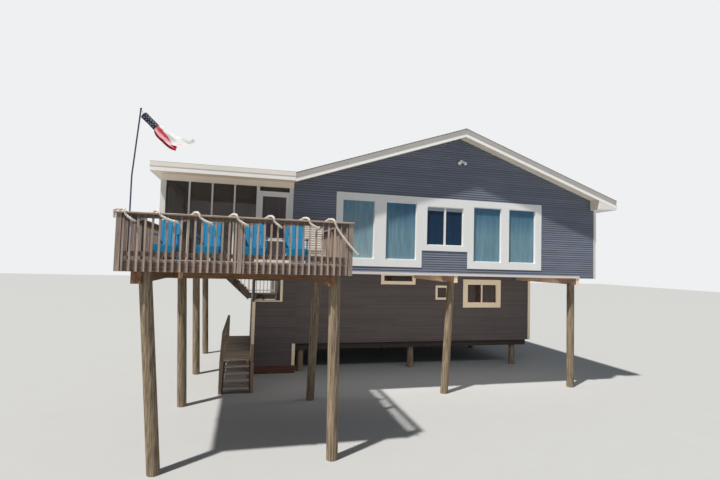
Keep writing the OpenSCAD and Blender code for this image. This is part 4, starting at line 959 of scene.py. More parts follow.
@dataclass
class Siding:
    """Lapped boards over a wall, cut round its openings.

    Attributes:
        face: Frame of the wall's face.
        span: Where the wall starts and ends along its face.
        height: Its foot and its top.
        openings: Left, right, foot and top of what the boards stop at.
        under_roof: Cuts the boards off under the gable's soffit.
        course: Height of a course.
        proud: How far a board's foot stands out.
        thin: How far its head stands out, and its back goes in.
        hollow: How fast a board thins towards its head.
        stock: Length of a board.
        stagger: Shift of the joints from course to course.
        butt: Gap between boards end to end.
        shortest: Length that a cut board has at least.
    """

    name: str
    look: Look
    slot: Slot
    face: Matrix
    span: Span
    height: Span
    openings: Sequence[Box]
    seed: int
    under_roof: bool = False
    course: float = 75.0
    proud: float = 16.0
    thin: float = 3.0
    hollow: float = 1.7
    stock: float = 3660.0
    stagger: float = 1370.0
    butt: float = 1.5
    shortest: float = 60.0

    def bands(self, low: float, high: float) -> list[Span]:
        """Splits a course at the heads and feet of the openings.

        Args:
            low: Foot of the course.
            high: Its head.

        Returns:
            Foot and head of each band.
        """
        levels = sorted({low, high} | {z for o in self.openings for z in o[2:] if low < z < high})
        return list(zip(levels, levels[1:]))

    def runs(self, low: float, high: float) -> list[Span]:
        """Finds the stretches of wall between the openings.

        Args:
            low: Foot of the band.
            high: Its head.

        Returns:
            Start and end of each stretch.
        """
        found = [self.span]
        for left, right, foot, top in self.openings:
            if foot < high - 0.01 and top > low + 0.01:
                found = [part for a, b in found for part in ((a, min(b, left)), (max(a, right), b))
                         if part[1] - part[0] > 1.0]
        return found

    def build(self) -> Object:
        """Lays the courses from the foot up and makes the piece.

        Returns:
            The piece.
        """
        chance, bm = random.Random(self.seed), bmesh.new()
        layers = [bm.verts.layers.float.new(name) for name in ("tone", "rise")]
        foot, top = self.height
        for row in range(math.ceil((top - foot) / self.course)):
            low = foot + row * self.course
            first = self.span[0] + (row * self.stagger) % self.stock
            joints = [first + k * self.stock for k in range(-1, 5)]
            tones = {joint: chance.random() for joint in joints}
            for levels in self.bands(low, min(low + self.course, top)):
                for start, end in self.runs(*levels):
                    inner = [j for j in joints if start + self.shortest < j < end - self.shortest]
                    marks = [start, *inner, end]
                    for a, b in zip(marks, marks[1:]):
                        owner = max([j for j in joints if j <= a + 1] or joints[:1])
                        self.lap(bm, layers, (a, b - self.butt), levels, low, tones[owner])
        bmesh.ops.transform(bm, matrix=self.face, verts=bm.verts[:])
        if self.under_roof:
            self.cut_gable(bm)
        to_frame(bm)
        return settle(add_mesh(self.name, bm), self.look)

    def cut_gable(self, bm: BMesh) -> None:
        """Cuts the boards off along both slopes and closes their ends.

        Args:
            bm: The boards.
        """
        point = (PLAN.ridge, 0, PLAN.siding_top(PLAN.ridge))
        for side in (-1, 1):
            bmesh.ops.bisect_plane(bm, geom=bm.verts[:] + bm.edges[:] + bm.faces[:], dist=0.01,
                                   plane_co=point, plane_no=(side * PLAN.pitch, 0, 1), clear_outer=True)
        bmesh.ops.holes_fill(bm, edges=[e for e in bm.edges if e.is_boundary], sides=0)

    def lap(self, bm: BMesh, layers: Sequence[bmesh.types.BMLayerItem], ends: Span, levels: Span,
            low: float, value: float) -> None:
        """Adds one board, thick at its foot and thin at its head.

        Args:
            bm: The mesh that takes it.
            layers: The layers of its tone and of the rise over its foot.
            ends: Where it starts and ends.
            levels: Foot and head of its band.
            low: Foot of its course.
            value: Its tone.
        """
        head = (levels[0] + levels[1]) / 2
        size = (ends[1] - ends[0], 1.0, levels[1] - levels[0], 1.0)
        matrix = Matrix.Translation(((ends[0] + ends[1]) / 2, 0.0, head)) @ Matrix.Diagonal(size)
        first = len(bm.verts)
        verts = bmesh.ops.create_cube(bm, size=1.0, matrix=matrix)["verts"]
        upright = [e for v in verts if v.co.z > head for e in v.link_edges if e.other_vert(v).co.z < head]
        bmesh.ops.subdivide_edges(bm, edges=upright, cuts=1)
        bm.verts.ensure_lookup_table()
        for vert in bm.verts[first:]:
            share = (vert.co.z - low) / self.course
            out = self.thin + (self.proud - self.thin) * (1.0 - share) ** self.hollow
            vert.co.y = -self.thin if vert.co.y < 0 else out
            vert[layers[0]], vert[layers[1]] = value, share


@dataclass
class Walls:
    """Siding of both storeys, one piece for each wall."""

    trim: float = 140.0
    corner: float = 115.0
    gable_top: float = 8400.0
    front: tuple[Box, ...] = ((-4028, -1220, 4085, 6337), (-1220, 388, 4633, 6337), (388, 3172, 4085, 6337),
                              (PLAN.deck_right, 4740, 3800, 3915))
    porch: tuple[Box, ...] = ((-10, PLAN.porch_depth, PLAN.sill - 5, PLAN.floor),
                              (1450, 2450, PLAN.floor, PLAN.floor + 2100),
                              (PLAN.porch_depth, PLAN.porch_depth + 190, PLAN.ceiling, 9000))
    low_windows: Span = (2300.0, 1000.0)
    low_openings: tuple[Box, ...] = (
        (-1435, 15, 3357, 3830), (902, 1472, 2763, 3338), (2134, 3883, 2446, 3608), (-6270, -5267, 2651, 3509),
        (PLAN.bay_left, -6240, 200, 2640), (PLAN.bay_right - 115, PLAN.bay_right, 200, PLAN.low_foot),
        (5210, 5325, 1000, 3900))
    girder_gap: Point = (62, 3600, 3900)
    stairs: tuple[Box, ...] = ((3850, 4652, PLAN.walk, 4000), (PLAN.low_front, 3850, 2691, 4000),
                               (4652, PLAN.bay_back, 2520, 4000))

    def windows(self, middles: Sequence[float], foot: float, height: float) -> tuple[Box, ...]:
        """Outlines of a row of plain windows with their trim.

        Args:
            middles: The windows' middles.
            foot: Foot of the glass.
            height: Its height.

        Returns:
            Left, right, foot and top of each window.
        """
        half = PLAN.window_half + self.trim
        return tuple((m - half, m + half, foot - self.trim, foot + height + self.trim) for m in middles)

    def dress(self) -> None:
        """Lays the siding of every outer wall."""
        glass = (PLAN.window_foot, PLAN.window_height)
        sides = PLAN.bays(0.0, PLAN.depth, 4)
        behind = PLAN.bays(PLAN.left, PLAN.right, 4)
        right, back = face_to((PLAN.right, 0, 0), Y, X), face_to((0, PLAN.depth, 0), X, Y)
        width, gable = (PLAN.left, PLAN.right), (PLAN.sill, self.gable_top)
        heights = [(PLAN.sill, PLAN.siding_top(x)) for x in (PLAN.left, PLAN.right)]
        upper = (
            ("front", face_to((0, 0, 0), X, -Y), width, gable, self.front),
            ("right", right, (self.corner, PLAN.depth), heights[1], self.windows(sides, *glass)),
            ("left", face_to((PLAN.left, 0, 0), Y, -X), (0, PLAN.depth), heights[0],
             self.porch + self.windows(sides[2:], *glass)),
            ("back", back, width, gable, self.windows(behind, *glass)),
        )
        for seed, (side, *place) in enumerate(upper, 11):
            Siding(f"siding_{side}", Look.SIDING, Slot.SIDING, *place, seed, side in ("front", "back")).build()
        half, *levels = self.girder_gap
        girders = tuple((x - half, x + half, *levels) for x in PLAN.girders)
        front = face_to((0, PLAN.low_front, 0), X, -Y)
        low = (PLAN.low_foot, PLAN.sill)
        beside = PLAN.bays(PLAN.low_front, PLAN.depth, 3)
        lower = (
            ("bay", front, (PLAN.bay_left, PLAN.bay_right), (PLAN.bay_foot, PLAN.sill), self.low_openings),
            ("front", front, (PLAN.bay_right, PLAN.right), low, self.low_openings + girders),
            ("right", right, (PLAN.low_front, PLAN.depth), low, self.windows(beside, *self.low_windows)),
            ("back", back, width, low, self.windows(behind, *self.low_windows) + girders),
            ("stairs", face_to((PLAN.bay_left, 0, 0), Y, -X), (PLAN.low_front, PLAN.bay_back),
             (PLAN.bay_foot, 2691), self.stairs),
        )
        for seed, (side, *place) in enumerate(lower, 21):
            Siding(f"lower_siding_{side}", Look.LOWER_SIDING, Slot.LOWER_SIDING, *place, seed).build()


@dataclass
class Roofing:
    """Shingles in staggered courses, ridge caps, fascias and the closed eave."""

    tab: float = 305.0
    show: float = 140.0
    thick: float = 6.0
    lap: float = 20.0
    gap: float = 4.0
    drip: float = 45.0
    fascia: float = 30.0
    fascia_drop: float = 264.0
    band: float = 9.0
    step: float = 0.5
    box_foot: float = 6270.0
    box_out: float = 28.0
    sheet: float = 900.0

    def slope(self, name: str, side: int, reach: float, seed: int) -> None:
        """Covers one slope, from the eave up to the ridge.

        Args:
            name: The piece's name.
            side: 1 for the right slope, -1 for the left one.
            reach: Distance of the eave from the ridge.
            seed: Seed of the tones.
        """
        chance, bm = random.Random(seed), bmesh.new()
        tone = bm.verts.layers.float.new("tone")
        start, end = -PLAN.rake - self.drip, PLAN.depth + PLAN.rake + 25
        run = math.hypot(reach, reach * PLAN.pitch)
        for row in range(int(run / self.show) + 1):
            foot = run - row * self.show
            head = max(foot - self.show - self.lap, 4.0)
            if foot - head < 15:
                continue
            y = start - (row % 3) * self.tab / 3
            while y < end:
                a, b = max(y, start), min(y + self.tab - self.gap, end)
                if b - a > 20:
                    matrix = Matrix.Translation(((a + b) / 2, (head + foot) / 2, 0))
                    matrix = matrix @ Matrix.Diagonal((b - a, foot - head, 1.0, 1.0))
                    value = chance.random()
                    for vert in bmesh.ops.create_cube(bm, size=1.0, matrix=matrix)["verts"]:
                        lower = (vert.co.y - head) / (foot - head)
                        vert.co.z = -2.0 if vert.co.z < 0 else 2.0 + self.thick * lower
                        vert[tone] = value
                y += self.tab
        down = Vector((side, 0, -PLAN.pitch)).normalized()
        up = Vector((side * PLAN.pitch, 0, 1)).normalized()
        face = Matrix((Y, down, up)).transposed().to_4x4()
        bmesh.ops.transform(bm, matrix=Matrix.Translation((PLAN.ridge, 0, PLAN.ridge_top)) @ face,
                            verts=bm.verts[:])
        to_frame(bm)
        settle(add_mesh(name, bm), Look.SHINGLE)

    def onto_roof(self, corner: Vector) -> Vector:
        """Lifts a corner by the roof's height over it."""
        return Vector((corner.x, corner.y, corner.z + PLAN.roof_top(corner.x)))

    def fascias(self) -> None:
        """Lays the two-step fascia boards along the gable and the porch."""
        front, eave = -PLAN.rake - self.fascia, PLAN.right + PLAN.eave
        face, last = front - self.band, front - self.step
        halves = ((PLAN.left, PLAN.ridge - 1), (PLAN.ridge + 1, eave))
        west, east = PLAN.porch_left - PLAN.porch_eave, PLAN.left - 2
        low = Timber("fascia_boards", Look.BRIGHT_TRIM, Slot.WHITE_TRIM, ["front_fascia"], 2.0, 35)
        for a, b in halves:
            low.board((a, front, -self.fascia_drop), (b, -PLAN.rake, 0), Way.X, shape=self.onto_roof)
        low.board((west, front, PLAN.ceiling), (east, -PLAN.rake, PLAN.porch_top), Way.X)
        low.build()
        gable = Timber("fascia_gable_band", Look.GREY_BAND, Slot.WHITE_TRIM, (), 2.0, 36)
        for a, b in halves:
            gable.board((a, face, -150), (b, last, 0), Way.X, shape=self.onto_roof)
        gable.build()
        porch = Timber("fascia_porch_band", Look.CREAM_BAND, Slot.WHITE_TRIM, (), 2.0, 37)
        porch.board((west, face, PLAN.porch_top - 125), (east, last, PLAN.porch_top), Way.X)
        porch.build()

    def under_slope(self, corner: Vector) -> Vector:
        """Lifts an upper corner to the underside of the roof."""
        return Vector((corner.x, corner.y,
                       corner.z if corner.z < self.box_foot + 2 else PLAN.roof_top(corner.x) - 250))

    def eave_box(self) -> None:
        """Closes the right eave with a level box and hangs the downspout under it."""
        left, right, foot = PLAN.right - 145, PLAN.right + PLAN.eave + self.box_out, self.box_foot
        front, back = -PLAN.rake, PLAN.depth + PLAN.rake
        box = Timber("eave_box", Look.WHITE_TRIM, Slot.WHITE_TRIM, (), 2.0, 38)
        box.board((left, front - self.box_out, foot), (right, front - 2, foot + 10), Way.X,
                  shape=self.under_slope)
        box.board((right - 26, front, foot), (right, back, 6340), Way.Y)
        box.board((left, front, foot), (right - 28, -14, foot + 14), Way.X)
        box.board((PLAN.right + 14, -13, foot), (right - 28, back, foot + 14), Way.Y)
        box.build()
        side = Timber("eave_box_side", Look.SOFFIT, Slot.WHITE_TRIM, (), 2.0, 39)
        side.board((left, front, foot + 15), (left + 14, -14, PLAN.roof_top(left) - 216), Way.Y)
        side.build()
        spout = Timber("downspout", Look.WHITE_TRIM, Slot.WHITE_TRIM, (), 8.0, 40)
        spout.board((PLAN.right + 24, 6, PLAN.sill), (PLAN.right + 130, 74, foot), Way.Z)
        for z in (4200, 5200, 6100):
            spout.board((PLAN.right + 10, 2, z), (PLAN.right + 134, 78, z + 30), Way.X)
        spout.build()

    def ridge_caps(self) -> None:
        """Folds a row of caps over the ridge."""
        ridge = Timber("ridge_caps", Look.SHINGLE, Slot.SHINGLE, chamfer=1.0, seed=33)
        place = Matrix.Translation((PLAN.ridge, 0, PLAN.ridge_top + self.thick))
        y = -PLAN.rake - self.drip
        while y < PLAN.depth + PLAN.rake - 120:
            for side in (-1, 1):
                turn = place @ Matrix.Rotation(side * math.atan(PLAN.pitch), 4, "Y")
                ridge.board((min(0, side * 150), y, -2), (max(0, side * 150), y + 150, 4), Way.X, turn)
            y += self.show
        ridge.build()

    def dress(self) -> None:
        """Covers both slopes, the ridge and the porch roof."""
        self.fascias()
        self.eave_box()
        self.slope("shingles_right", 1, PLAN.right + PLAN.eave - PLAN.ridge + 20, 31)
        self.slope("shingles_left", -1, PLAN.ridge - PLAN.left, 32)
        self.ridge_caps()
        rolls = Timber("porch_roofing", Look.SHINGLE, Slot.SHINGLE, chamfer=1.0, seed=34)
        x, top = PLAN.porch_left - PLAN.porch_eave, PLAN.porch_top
        while x < PLAN.left - 10:
            rolls.board((x, -PLAN.rake - 40, top - 2),
                        (min(x + self.sheet + 5, PLAN.left), PLAN.porch_depth + 200, top + 4), Way.Y)
            x += self.sheet
        rolls.build()


@dataclass
class Supports:
    """Piles and girders under the house, the porch and the deck."""

    radius: float = 125.0
    sides: int = 28
    rings: int = 9
    head: float = 3618.0
    row_start: float = 360.0
    row_step: float = 3600.0
    front_lean: tuple[float, ...] = (-90.0, -180.0, 0.0)
    porch_line: float = -8380.0
    porch_lean: float = 155.0
    deck_row: float = -3720.0
    deck_piles: tuple[Span, ...] = ((-8523.0, 330.0), (-4745.0, 60.0))
    beam_half: float = 60.0
    deck_beam_half: float = 90.0
    deck_beam_drop: float = 235.0
    deck_beam_aside: float = 115.0

    def pile(self, bm: BMesh, x: float, y: float, height: float, lean: float, chance: random.Random) -> None:
        """Adds a round pile whose foot stands aside of its head.

        Args:
            bm: The mesh that takes it.
            x: Place of its head.
            y: Place of its head.
            height: Its height.
            lean: How far aside its foot stands.
            chance: Source of its small bends.
        """
        first = len(bm.verts)
        bmesh.ops.create_cone(bm, cap_ends=True, segments=self.sides, radius1=self.radius,
                              radius2=self.radius, depth=height, matrix=Matrix.Translation((x, y, height / 2)))
        bm.verts.ensure_lookup_table()
        upright = [e for v in bm.verts[first:] for e in v.link_edges
                   if v.co.z > height / 2 and abs(e.verts[0].co.z - e.verts[1].co.z) > 1]
        bmesh.ops.subdivide_edges(bm, edges=upright, cuts=self.rings)
        bm.verts.ensure_lookup_table()
        swing, phase = chance.uniform(2, 5), chance.uniform(0, 6)
        for vert in bm.verts[first:]:
            share = vert.co.z / height
            angle = math.atan2(vert.co.y - y, vert.co.x - x)
            squeeze = 1 - 0.012 * (1 + math.sin(2 * angle + phase + 2 * share))
            vert.co.x = x + (vert.co.x - x) * squeeze + lean * (1 - share)
            vert.co.y = y + (vert.co.y - y) * squeeze
            if 0.02 < share < 0.98:
                vert.co.x += swing * 0.4 * math.sin(3 * share + phase)

    def gather(self, name: str, node: str, places: Sequence[Box], seed: int) -> None:
        """Makes one piece of several piles.

        Args:
            name: The piece's name.
            node: CAD node that it stands for.
            places: Place, height and lean of each pile.
            seed: Seed of their bends.
        """
        chance, bm = random.Random(seed), bmesh.new()
        for place in places:
            self.pile(bm, *place, chance)
        to_frame(bm)
        settle(add_mesh(name, bm, 40.0), Look.PILE, [node])

    def planks(self, middle: float, half: float) -> tuple[Span, Span]:
        """Both planks of a girder, 2 mm apart."""
        return (middle - half, middle - 1), (middle + 1, middle + half)

    def dress(self) -> None:
        """Sets the piles and lays the girders."""
        rows = [self.row_start + self.row_step * i for i in range(4)]
        house = [(x, y, self.head, lean if y == self.row_start else 0.0)
                 for y in rows for x, lean in zip(PLAN.girders, self.front_lean)]
        house += [(self.porch_line, y, self.head, self.porch_lean) for y in rows[:3]]
        self.gather("round_piles", "house_piles", house, 51)
        front = [(x, self.deck_row, PLAN.joist_foot, lean) for x, lean in self.deck_piles]
        self.gather("round_deck_piles", "deck_piles", front, 52)
        self.house_girders()
        self.deck_girders()
        under = Timber("floor_beams", Look.FLOOR_BEAM, Slot.GIRDER_WOOD, chamfer=4.0, seed=56)
        for y in rows[1:]:
            under.board((PLAN.bay_right, y - 245, 850), (PLAN.right - 150, y - 125, PLAN.low_foot), Way.X)
        under.build()
        self.bolts()

    def house_girders(self) -> None:
        """Lays the girders under the house and the porch, with boards over their front ends."""
        beams = Timber("girder_planks", Look.GIRDER, Slot.GIRDER_WOOD, ["girders"], chamfer=4.0, seed=53)
        ends = Timber("girder_ends", Look.CREAM_TRIM, Slot.GIRDER_WOOD, seed=54)
        for x in PLAN.girders:
            ends.board((x - self.beam_half, 0, self.head), (x + self.beam_half, 15, PLAN.sill), Way.Z)
            for a, b in self.planks(x, self.beam_half):
                for c, d in ((16, PLAN.depth / 2), (PLAN.depth / 2 + 2, PLAN.depth)):
                    beams.board((a, c, self.head), (b, d, PLAN.sill), Way.Y)
        ends.build()
        for a, b in self.planks(self.porch_line, self.beam_half):
            beams.board((a, 0, self.head), (b, 7685, PLAN.sill), Way.Y)
        beams.build()

    def deck_girders(self) -> None:
        """Lays the girders under the deck and across the porch's front."""
        brown = Timber("deck_beams", Look.DECK_BEAM, Slot.GIRDER_WOOD, chamfer=4.0, seed=55)
        past, pile = self.beam_half + 1, self.porch_line
        for a, b in ((PLAN.porch_left, pile - past), (pile + past, PLAN.girders[0] - past)):
            for c, d in self.planks(self.beam_half, self.beam_half):
                brown.board((a, c, self.head), (b, d, PLAN.sill), Way.X)
        for x, _ in self.deck_piles:
            for a, b in self.planks(x - self.deck_beam_aside, self.deck_beam_half):
                brown.board((a, -3954, PLAN.joist_foot - self.deck_beam_drop), (b, 0, PLAN.joist_foot), Way.Y)
        brown.build()

    def bolts(self) -> None:
        """Sets bolt heads with washers where the deck's girders pass the piles."""
        bm = bmesh.new()
        side = Matrix.Rotation(math.radians(90), 4, "Y")
        aside = self.deck_beam_aside + self.deck_beam_half
        for x, _ in self.deck_piles:
            for dy, dz in ((-45, 70), (-45, 165), (45, 70), (45, 165)):
                place = Matrix.Translation((x - aside, self.deck_row + dy, PLAN.joist_foot - dz)) @ side
                for radius, depth in ((22, 5), (12, 14)):
                    bmesh.ops.create_cone(bm, cap_ends=True, segments=12, radius1=radius, radius2=radius,
                                          depth=depth, matrix=place)
        to_frame(bm)
        settle(add_mesh("girder_bolts", bm), Look.STEEL)


@dataclass
class Deck:
    """The front deck: planks, joists, caps, rails and balusters."""

    rim: float = -4006.0
    planks: int = 31
    half_gap: float = 2.5
    joists: int = 11
    side_panel: float = 1887.0
    top_rail: float = 70.0
    low_rail: Span = (70.0, 160.0)

    def dress(self) -> None:
        """Builds every board of the deck and its railing."""
        left, right = PLAN.deck_left + PLAN.baluster, PLAN.deck_right - PLAN.baluster
        width = (right - left) / self.planks
        planks = Timber("deck_planks", Look.DECK, Slot.DECK_WOOD, ["deck_boards"], seed=41)
        for i in range(self.planks):
            planks.board((left + i * width + self.half_gap, self.rim, PLAN.floor - PLAN.board),
                         (left + (i + 1) * width - self.half_gap, 0, PLAN.floor), Way.Y)
        planks.build()
        self.build_frame(left, right)
        self.build_caps()
        self.build_railing()

    def build_frame(self, left: float, right: float) -> None:
        """Lays the rim boards and the joists under the planks.

        Args:
            left: Left face of the frame.
            right: Right face of the frame.
        """
        joists = Timber("deck_joists", Look.JOIST, Slot.DECK_WOOD, ["deck_frame"], seed=42)
        foot, head = PLAN.joist_foot, PLAN.floor - PLAN.board
        for a, b in ((left, PLAN.middle_post), (PLAN.middle_post, right)):
            joists.board((a, self.rim, foot), (b, self.rim + PLAN.board, head), Way.X)
        for x in (left, right - PLAN.board):
            joists.board((x, self.rim + PLAN.board, foot), (x + PLAN.board, 0, head), Way.Y)
        step = (-self.rim - PLAN.board) / self.joists
        for i in range(1, self.joists + 1):
            y = self.rim + i * step
            joists.board((left + PLAN.board, y, foot), (right - PLAN.board, y + PLAN.board, head), Way.X)
        joists.build()

    def build_caps(self) -> None:
        """Lays the cap boards, butted over the middle post."""
        caps = Timber("cap_boards", Look.CAP, Slot.DECK_WOOD, ["rail_caps"], chamfer=5.0, seed=46)
        head, front = PLAN.cap_foot + PLAN.board, PLAN.deck_front - PLAN.cap_over
        west, east = PLAN.deck_left - PLAN.cap_over, PLAN.deck_right + PLAN.cap_over
        for a, b in ((west, PLAN.middle_post - 1.5), (PLAN.middle_post + 1.5, east)):
            caps.board((a, front, PLAN.cap_foot), (b, front + PLAN.cap, head), Way.X)
        for x in (west, east - PLAN.cap):
            caps.board((x, front + PLAN.cap + 2, PLAN.cap_foot), (x + PLAN.cap, 0, head), Way.Y)
        caps.build()

    def build_railing(self) -> None:
        """Builds the rails and balusters of the three sides."""
        side, middle, half = self.side_panel, PLAN.deck_front / 2, PLAN.post / 2
        front = [((at, PLAN.deck_front), X, Y, length) for at, length in PLAN.front_panels()]
        west = [((PLAN.deck_left, at), -Y, X, side) for at in (middle - half, -PLAN.post)]
        east = [((PLAN.deck_right, at), Y, -X, side) for at in (PLAN.deck_front + PLAN.post, middle + half)]
        rails = Timber("long_rails", Look.LONG_RAIL, Slot.DECK_WOOD, seed=47)
        for seed, (name, panels) in enumerate((("front", front), ("left", west), ("right", east)), 43):
            bars = Timber(f"{name}_balusters", Look.BALUSTER, Slot.DECK_WOOD, [f"{name}_rail"], seed=seed)
            for (x, y), along, inward, length in panels:
                self.panel(bars, rails, Matrix((along, inward, Z)).transposed().to_4x4(), (x, y, 0), length)
            bars.build()
        rails.build()

    def panel(self, bars: Timber, rails: Timber, face: Matrix, start: Point, length: float) -> None:
        """Adds the rails and balusters between two posts.

        Args:
            bars: The piece that takes the balusters.
            rails: The piece that takes the long rails.
            face: Turn of the panel: along it, towards the deck, and up.
            start: Outer corner where the panel starts.
            length: Distance between the posts.
        """
        way = Way.X if abs(face[0][0]) > 0.5 else Way.Y
        inner, outer = PLAN.baluster + PLAN.board, PLAN.baluster
        top = (PLAN.cap_foot - self.top_rail, PLAN.cap_foot)
        low = (PLAN.floor + self.low_rail[0], PLAN.floor + self.low_rail[1])
        blocks = [(rails, (0, length), (outer, inner), levels, way) for levels in (top, low)]
        whole = (PLAN.joist_foot, PLAN.cap_foot)
        blocks += [(bars, (at - outer / 2, at + outer / 2), (0, outer), whole, Way.Z)
                   for at in PLAN.balusters(length)]
        place = Matrix.Translation(start) @ face
        for timber, *spans, grain in blocks:
            ends = [place @ Vector(corner) for corner in zip(*spans)]
            timber.board([min(pair) for pair in zip(*ends)], [max(pair) for pair in zip(*ends)], grain)


@dataclass(frozen=True)
class Flight:
    """A straight flight of treads, each of two boards.

    Attributes:
        way: Direction of the treads' grain.
        first: Where the lowest tread starts.
        step: Distance from tread to tread.
        foot: Height that the first step rises from.
        rise: Height of a step.
        count: Number of treads.
        ends: Where the treads' ends lie.
        boards: Start and end of a tread's boards.
    """

    way: Way
    first: float
    step: float
    foot: float
    rise: float
    count: int
    ends: Span
    boards: tuple[Span, Span]

    def lay(self, timber: Timber) -> None:
        """Adds the treads from the lowest one up.

        Args:
            timber: The piece that takes them.
        """
        for i in range(self.count):
            start, head = self.first + i * self.step, self.foot + (i + 1) * self.rise
            for a, b in self.boards:
                run = (start + a, start + b)
                low, high = zip(run, self.ends) if self.way is Way.Y else zip(self.ends, run)
                timber.board((*low, head - PLAN.board), (*high, head), self.way)


@dataclass
class Stairs:
    """Treads, landings and the boardwalk, all in separate boards."""

    flights: tuple[Flight, ...] = (
        Flight(Way.Y, -6704.0, -219.0, PLAN.landing, (PLAN.floor - PLAN.landing) / 7, 6, (6540, 7360),
               ((0, 107), (112, 219))),
        Flight(Way.X, 4652.0, 231.0, PLAN.walk, (PLAN.landing - PLAN.walk) / 9, 8, (-6165, -5365),
               ((0, 113), (118, 231))),
        Flight(Way.X, 1300.0, 250.0, 0.0, 168.0, 4, (-7180, -6395), ((0, 122), (127, 249))),
    )
    walk: Box = (-7220.0, -6355.0, 2300.0, 7000.0)
    walk_boards: int = 32
    walk_posts: tuple[float, ...] = (2300.0, 4605.0, 6910.0)
    walk_beam: float = 140.0
    landings: tuple[tuple[Point, Point], ...] = (
        ((-6485, 6500, 2520), (-5325, 7400, PLAN.landing)),
        ((-9005, 4440, 3840), (-7799, 7400, PLAN.floor)),
        ((-6205, 3750, 660), (-5325, 4652, PLAN.walk)),
    )
    landing_board: float = 145.0

    def dress(self) -> None:
        """Builds the boards."""
        treads = Timber("tread_boards", Look.TREAD, Slot.STAIR_WOOD, ["stair_treads"], seed=61)
        for flight in self.flights:
            flight.lay(treads)
        treads.build()
        walk = Timber("walk_boards", Look.WALK, Slot.FLOOR_WOOD, ["boardwalk"], seed=62)
        left, right, front, back = self.walk
        top, foot = PLAN.walk, PLAN.walk - PLAN.board
        width = (back - front) / self.walk_boards
        for i in range(self.walk_boards):
            y = front + i * width
            walk.board((left, y + 2.5, foot), (right, front + (i + 1) * width - 2.5, top), Way.X)
        for x in (left, right - PLAN.board):
            walk.board((x, front, foot - self.walk_beam), (x + PLAN.board, back, foot), Way.Y)
        for y in self.walk_posts:
            walk.board((right - 128, y, 0), (right - PLAN.board, y + PLAN.post, foot), Way.Z)
        walk.build()
        self.lay_landings()

    def lay_landings(self) -> None:
        """Builds each landing's solid base and the boards on it."""
        timber = Timber("landing_boards", Look.LANDING, Slot.STAIR_WOOD, ["stair_landings"], seed=63)
        for low, high in self.landings:
            foot = high[2] - PLAN.board
            timber.board(low, (high[0], high[1], foot), Way.X)
            count = round((high[1] - low[1]) / self.landing_board)
            step = (high[1] - low[1]) / count
            for i in range(count):
                timber.board((low[0], low[1] + i * step + 2, foot),
                             (high[0], low[1] + (i + 1) * step - 2, high[2]), Way.X)
        timber.build()


def even_curve(points: list[Vector], step: float) -> list[Vector]:
    """Draws a round curve through points, with no overshoot.

    Args:
        points: What it passes through.
        step: Distance between the curve's points.

    Returns:
        The curve's points.
    """
    ends = [points[0] * 2 - points[1], *points, points[-1] * 2 - points[-2]]
    fine = [points[0]]
    for four in zip(ends, ends[1:], ends[2:], ends[3:]):
        pairs, t = list(zip(four, four[1:])), [0.0]
        for p, q in pairs:
            t.append(t[-1] + math.sqrt(max((q - p).length, 1e-3)))
        for i in range(1, 9):
            at = t[1] + (t[2] - t[1]) * i / 8
            row = [p.lerp(q, (at - t[j]) / (t[j + 1] - t[j])) for j, (p, q) in enumerate(pairs)]
            pair = [row[j].lerp(row[j + 1], (at - t[j]) / (t[j + 2] - t[j])) for j in range(2)]
            fine.append(pair[0].lerp(pair[1], (at - t[1]) / (t[2] - t[1])))
    even, left_over = [fine[0]], 0.0
    for a, b in zip(fine, fine[1:]):
        length = (b - a).length
        at = step - left_over
        while at <= length:
            even.append(a.lerp(b, at / length))
            at += step
        left_over = length - (at - step)
    return even


